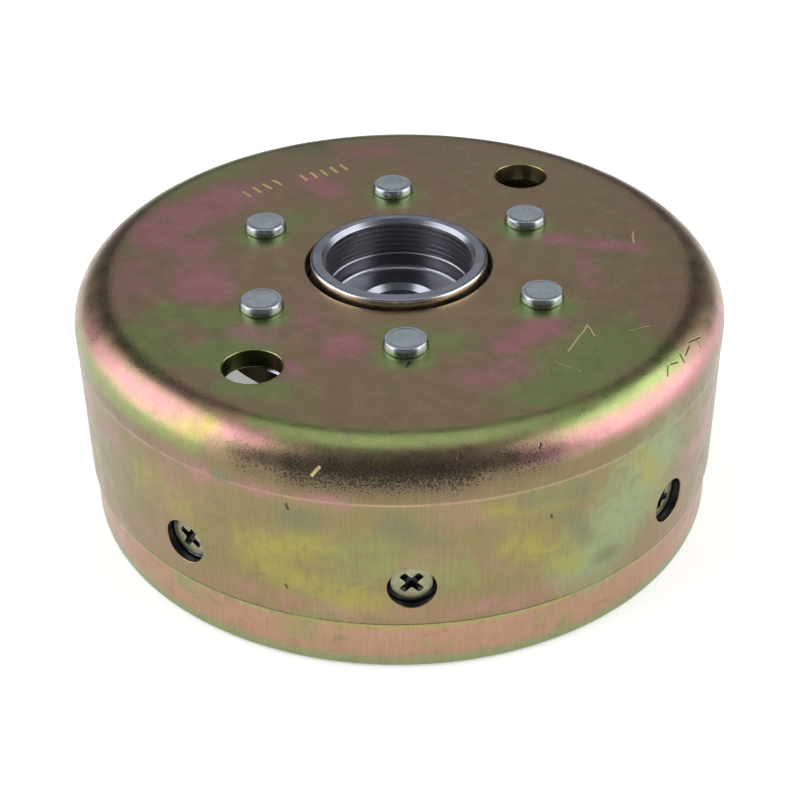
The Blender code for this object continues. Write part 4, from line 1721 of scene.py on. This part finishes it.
@dataclass
class Poles:
    """Four arc-shaped blocks of one kind, each with two screw holes.

    Attributes:
        prefix: How the blocks' nodes are named.
        slot: The record's finish.
        material: The finish.
        inner: The radius of the hollow face.
        outer: The radius of the round face.
        span: The angle that a block covers, in degrees.
        edge: The rounding of its edges.
        hole: The radius of its screw holes.
        tapped: Whether the holes carry a thread.
    """

    prefix: str
    slot: Slot
    material: bpy.types.Material
    inner: float
    outer: float
    span: float
    edge: float
    hole: float
    tapped: bool
    window_reach: float = 4.0
    thread_pitch: float = 0.7
    thread_depth: float = 0.3
    thread_rows: int = 6
    mouth: float = 0.3
    mouth_depth: float = 0.35

    def outline(self, low: float, high: float, rows: Sequence[float], inset: float) -> Profile:
        """A block's section in (r, z), drawn in from its full size by an inset.

        Args:
            low: The block's lower end.
            high: Its upper end.
            rows: Heights of the rows between the corners, lowest first.
            inset: How far to draw the section in.

        Returns:
            The closed section.
        """
        keep = self.edge * 0.25 + (self.edge - inset) * 0.75
        inner, outer, bottom, top = self.inner + inset, self.outer - inset, low + inset, high - inset
        line = arc((outer - keep, bottom + keep), keep, -90, 0, 3)
        line += [(outer, z) for z in rows]
        line += arc((outer - keep, top - keep), keep, 0, 90, 3)
        line += [((inner + outer) / 2, top)]
        line += arc((inner + keep, top - keep), keep, 90, 180, 3)
        line += [(inner, z) for z in reversed(rows)]
        line += arc((inner + keep, bottom + keep), keep, 180, 270, 3)
        return line + [((inner + outer) / 2, bottom)]

    def build(self) -> None:
        """Make the four blocks."""
        screws = nodes_like("magnet_screw_")
        for name in nodes_like(self.prefix):
            low, high = node_box(name)
            middle = node_angle(name)
            near = [s for s in screws if abs((node_angle(s) - middle + 180) % 360 - 180) < self.span / 2]
            self.block(name, low.z, high.z, middle, near)

    def block(self, name: str, low: float, high: float, middle: float, screws: Sequence[str]) -> None:
        """Make one block.

        Args:
            name: Its node.
            low: Its lower end.
            high: Its upper end.
            middle: The angle of its middle, in degrees.
            screws: The screws that pass through it.
        """
        mid = node_middle(screws[0]).z
        reach = self.window_reach
        start = middle - self.span / 2
        rows = spaced(low + self.edge, mid - reach, 1.5)
        rows += [mid - reach + k for k in range(round(2 * reach) + 1)]
        rows += spaced(mid + reach, high - self.edge, 1.5)
        stations: list[tuple[float, float]] = []
        for swing in (0.0, 30.0, 60.0, 90.0):
            turn = math.radians(swing)
            run = math.degrees(self.edge * (1 - math.cos(turn)) / self.outer)
            stations.append((run, self.edge * (1 - math.sin(turn))))
        last = stations[-1][0]
        count = round(self.span)
        body = [(last + (self.span - 2 * last) * k / count, 0.0) for k in range(1, count)]
        stations = stations + body + [(self.span - run, inset) for run, inset in reversed(stations)]
        sections = [self.outline(low, high, rows, inset) for _, inset in stations]

        def place(column: int, row: int, radius: float, height: float) -> Vector:
            """A point of the block's skin.

            Args:
                column: Its station along the block.
                row: Its row in that station's section.
                radius: Its radius in the middle section, which the station's own replaces.
                height: Its height in the middle section, replaced likewise.

            Returns:
                The point.
            """
            r, z = sections[column][row]
            return outwards(start + stations[column][0]) * r + Vector((0, 0, z))

        line = Outline(list(sections[len(sections) // 2]))
        holes = []
        for screw in screws:
            angle = node_angle(screw)
            swing = (angle - start) % 360
            wide = math.degrees(reach / self.outer)
            first = max(k for k, s in enumerate(stations) if s[0] < swing - wide)
            final = min(k for k, s in enumerate(stations) if s[0] > swing + wide)
            pair = []
            for radius in (self.outer, self.inner):
                bounds = sorted((line.near(radius, mid - reach), line.near(radius, mid + reach)))
                pair.append(Window((first, final), (bounds[0], bounds[1])))
            holes.append((angle, pair))
        blank = Blank()
        every = [window for _, pair in holes for window in pair]
        skin = Skin(blank, line.points, len(stations), every, place, closed=False)
        for angle, pair in holes:
            self.bore(blank, skin, outwards(angle), mid, pair)
        for column in (0, len(stations) - 1):
            blank.face([skin.at[column, row] for row in range(skin.rows)])
        blank.piece(name, self.slot, [self.material])

    def bore(
        self, blank: Blank, skin: Skin, away: Vector, height: float, pair: Sequence[Window]
    ) -> None:
        """Bore one screw hole through a block.

        Args:
            blank: The block's blank.
            skin: The block's skin.
            away: The way that the screw looks.
            height: The height of the hole's axis.
            pair: The hole's windows in the round face and in the hollow face.
        """
        drilling = Drilling(Vector((0, 0, height)), away, Vector((0, 0, 1)).cross(away))
        lip, start, end = self.hole + self.mouth, self.outer - self.mouth_depth, self.inner + self.mouth
        rings, angles = drilling.lead_in(blank, skin.border(pair[0]), lip, round_wall(self.outer), 3)
        under = drilling.lead_in(blank, skin.border(pair[1]), lip, round_wall(self.inner), 3)[0]
        rings.append(drilling.circle(blank, self.hole, angles, level(start)))
        if self.tapped:
            for x in spaced(start, end, self.thread_pitch / self.thread_rows):
                waves = [thread_wave(x / self.thread_pitch - angle / math.tau) for angle in angles]
                radii = [self.hole + self.thread_depth * wave for wave in waves]
                rings.append(blank.ring([drilling.spot(r, a, level(x)) for r, a in zip(radii, angles)]))
        rings.append(drilling.circle(blank, self.hole, angles, level(end)))
        blank.loft(rings)
        blank.loft(under)
        blank.weld(rings[-1], under[-1])


@dataclass
class Studio:
    """The floor, the lights and the camera.

    Attributes:
        lens: The camera's lens, in millimetres.
        sensor: The width of its sensor, in millimetres.
        elevation: How far it looks down, in degrees.
        roll: How far it leans to one side, in degrees.
        distance: How far it stands from what it looks at, in radii of the flywheel.
        aim: How high above the floor it looks, in radii of the flywheel.
        shift: How far its picture is shifted across and up.
        gloom: How bright the surroundings are.
        floor_glow: How much light the floor gives off by itself.
        floor_half: Half the floor's width, in metres.
    """

    lens: float = 74.68
    sensor: float = 36.0
    elevation: float = 34.56
    roll: float = -0.74
    distance: float = 5.4073
    aim: float = 0.2323
    shift: tuple[float, float] = (-0.0007, 0.0031)
    gloom: float = 0.16
    floor_glow: float = 0.36
    floor_half: float = 3.0

    def build(self) -> None:
        """Set up the whole studio."""
        self.floor()
        self.sky()
        self.lamp("left", (-1.10, -0.04, 0.58), (1.45, 1.30), 3.05)
        self.lamp("right", (1.10, -0.06, 0.56), (1.45, 1.25), 2.95)
        self.lamp("overhead", (0.0, 0.10, 1.10), (0.90, 0.80), 1.1)
        self.lamp("back", (0.0, 1.40, 1.00), (0.90, 0.70), 0.55)
        self.camera()

    def floor(self) -> None:
        """A pale floor."""
        g = Graph("pale_floor")
        cloud = g.noise(60, 2, 0.5)
        colour = g.mix(cloud, (0.90, 0.90, 0.90), (0.93, 0.93, 0.93))
        g.shader.inputs["Emission Color"].default_value = (1.0, 1.0, 1.0, 1.0)
        g.shader.inputs["Emission Strength"].default_value = self.floor_glow
        material = g.done(colour, 0.7, None, 0.0)
        shape = bmesh.new()
        bmesh.ops.create_grid(shape, x_segments=8, y_segments=8, size=self.floor_half)
        mesh = bpy.data.meshes.new("floor")
        shape.to_mesh(mesh)
        shape.free()
        mesh.materials.append(material)
        obj = bpy.data.objects.new("floor", mesh)
        bpy.context.scene.collection.objects.link(obj)

    def sky(self) -> None:
        """Soft, even grey surroundings."""
        world = bpy.data.worlds.new("studio")
        bpy.context.scene.world = world
        world.use_nodes = True
        back = world.node_tree.nodes["Background"]
        back.inputs["Color"].default_value = (0.95, 0.97, 1.0, 1.0)
        back.inputs["Strength"].default_value = self.gloom

    def lamp(
        self, name: str, place: tuple[float, float, float], size: tuple[float, float], glow: float
    ) -> None:
        """A softbox that looks at the flywheel.

        Args:
            name: Its name.
            place: Where its middle stands, in metres.
            size: Its width and height, in metres.
            glow: How bright its face looks; a white floor in full light is about 1.
        """
        light = bpy.data.lights.new(name, "AREA")
        light.shape = "RECTANGLE"
        light.size, light.size_y = size
        light.energy = glow * math.pi * size[0] * size[1]
        obj = bpy.data.objects.new(name, light)
        obj.location = place
        obj.rotation_euler = (-Vector(place)).to_track_quat("-Z", "Y").to_euler()
        bpy.context.scene.collection.objects.link(obj)

    def camera(self) -> None:
        """A long lens that looks down on the front."""
        reach = max(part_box("rotor_cup")[1][:2])
        tilt, roll = math.radians(self.elevation), math.radians(self.roll)
        forward = Vector((0, math.cos(tilt), -math.sin(tilt)))
        up = Vector((0, math.sin(tilt), math.cos(tilt)))
        right = Vector((1, 0, 0))
        side = right * math.cos(roll) + up * math.sin(roll)
        over = up * math.cos(roll) - right * math.sin(roll)
        target = Vector((0, 0, self.aim * reach))
        turn = Matrix((side, over, -forward)).transposed().to_4x4()
        data = bpy.data.cameras.new("camera")
        data.lens = self.lens
        data.sensor_width = self.sensor
        data.shift_x, data.shift_y = self.shift
        data.clip_start = 0.01
        obj = bpy.data.objects.new("camera", data)
        obj.matrix_world = Matrix.Translation(target - forward * self.distance * reach) @ turn
        bpy.context.scene.collection.objects.link(obj)
        bpy.context.scene.camera = obj
        bpy.context.scene.view_settings.view_transform = "Standard"


def main() -> None:
    """Build every piece, then the studio."""
    logging.basicConfig(level=logging.INFO, format="%(name)s: %(message)s", stream=sys.stdout)
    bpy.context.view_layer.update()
    RotorCup().build()
    Hub().build()
    Rivets().build()
    Poles(
        prefix="magnet_",
        slot=Slot.MAGNET,
        material=Ferrite().make(),
        inner=47.5,
        outer=53.7,
        span=60.0,
        edge=0.6,
        hole=2.5,
        tapped=False,
    ).build()
    Poles(
        prefix="pole_shoe_",
        slot=Slot.SHOE,
        material=BareSteel("shoe_steel", colour=(0.30, 0.30, 0.31), shade=(0.20, 0.20, 0.21)).make(),
        inner=43.5,
        outer=47.2,
        span=61.0,
        edge=0.5,
        hole=2.05,
        tapped=True,
    ).build()
    PoleScrews().build()
    Studio().build()


if __name__ == "__main__":
    main()
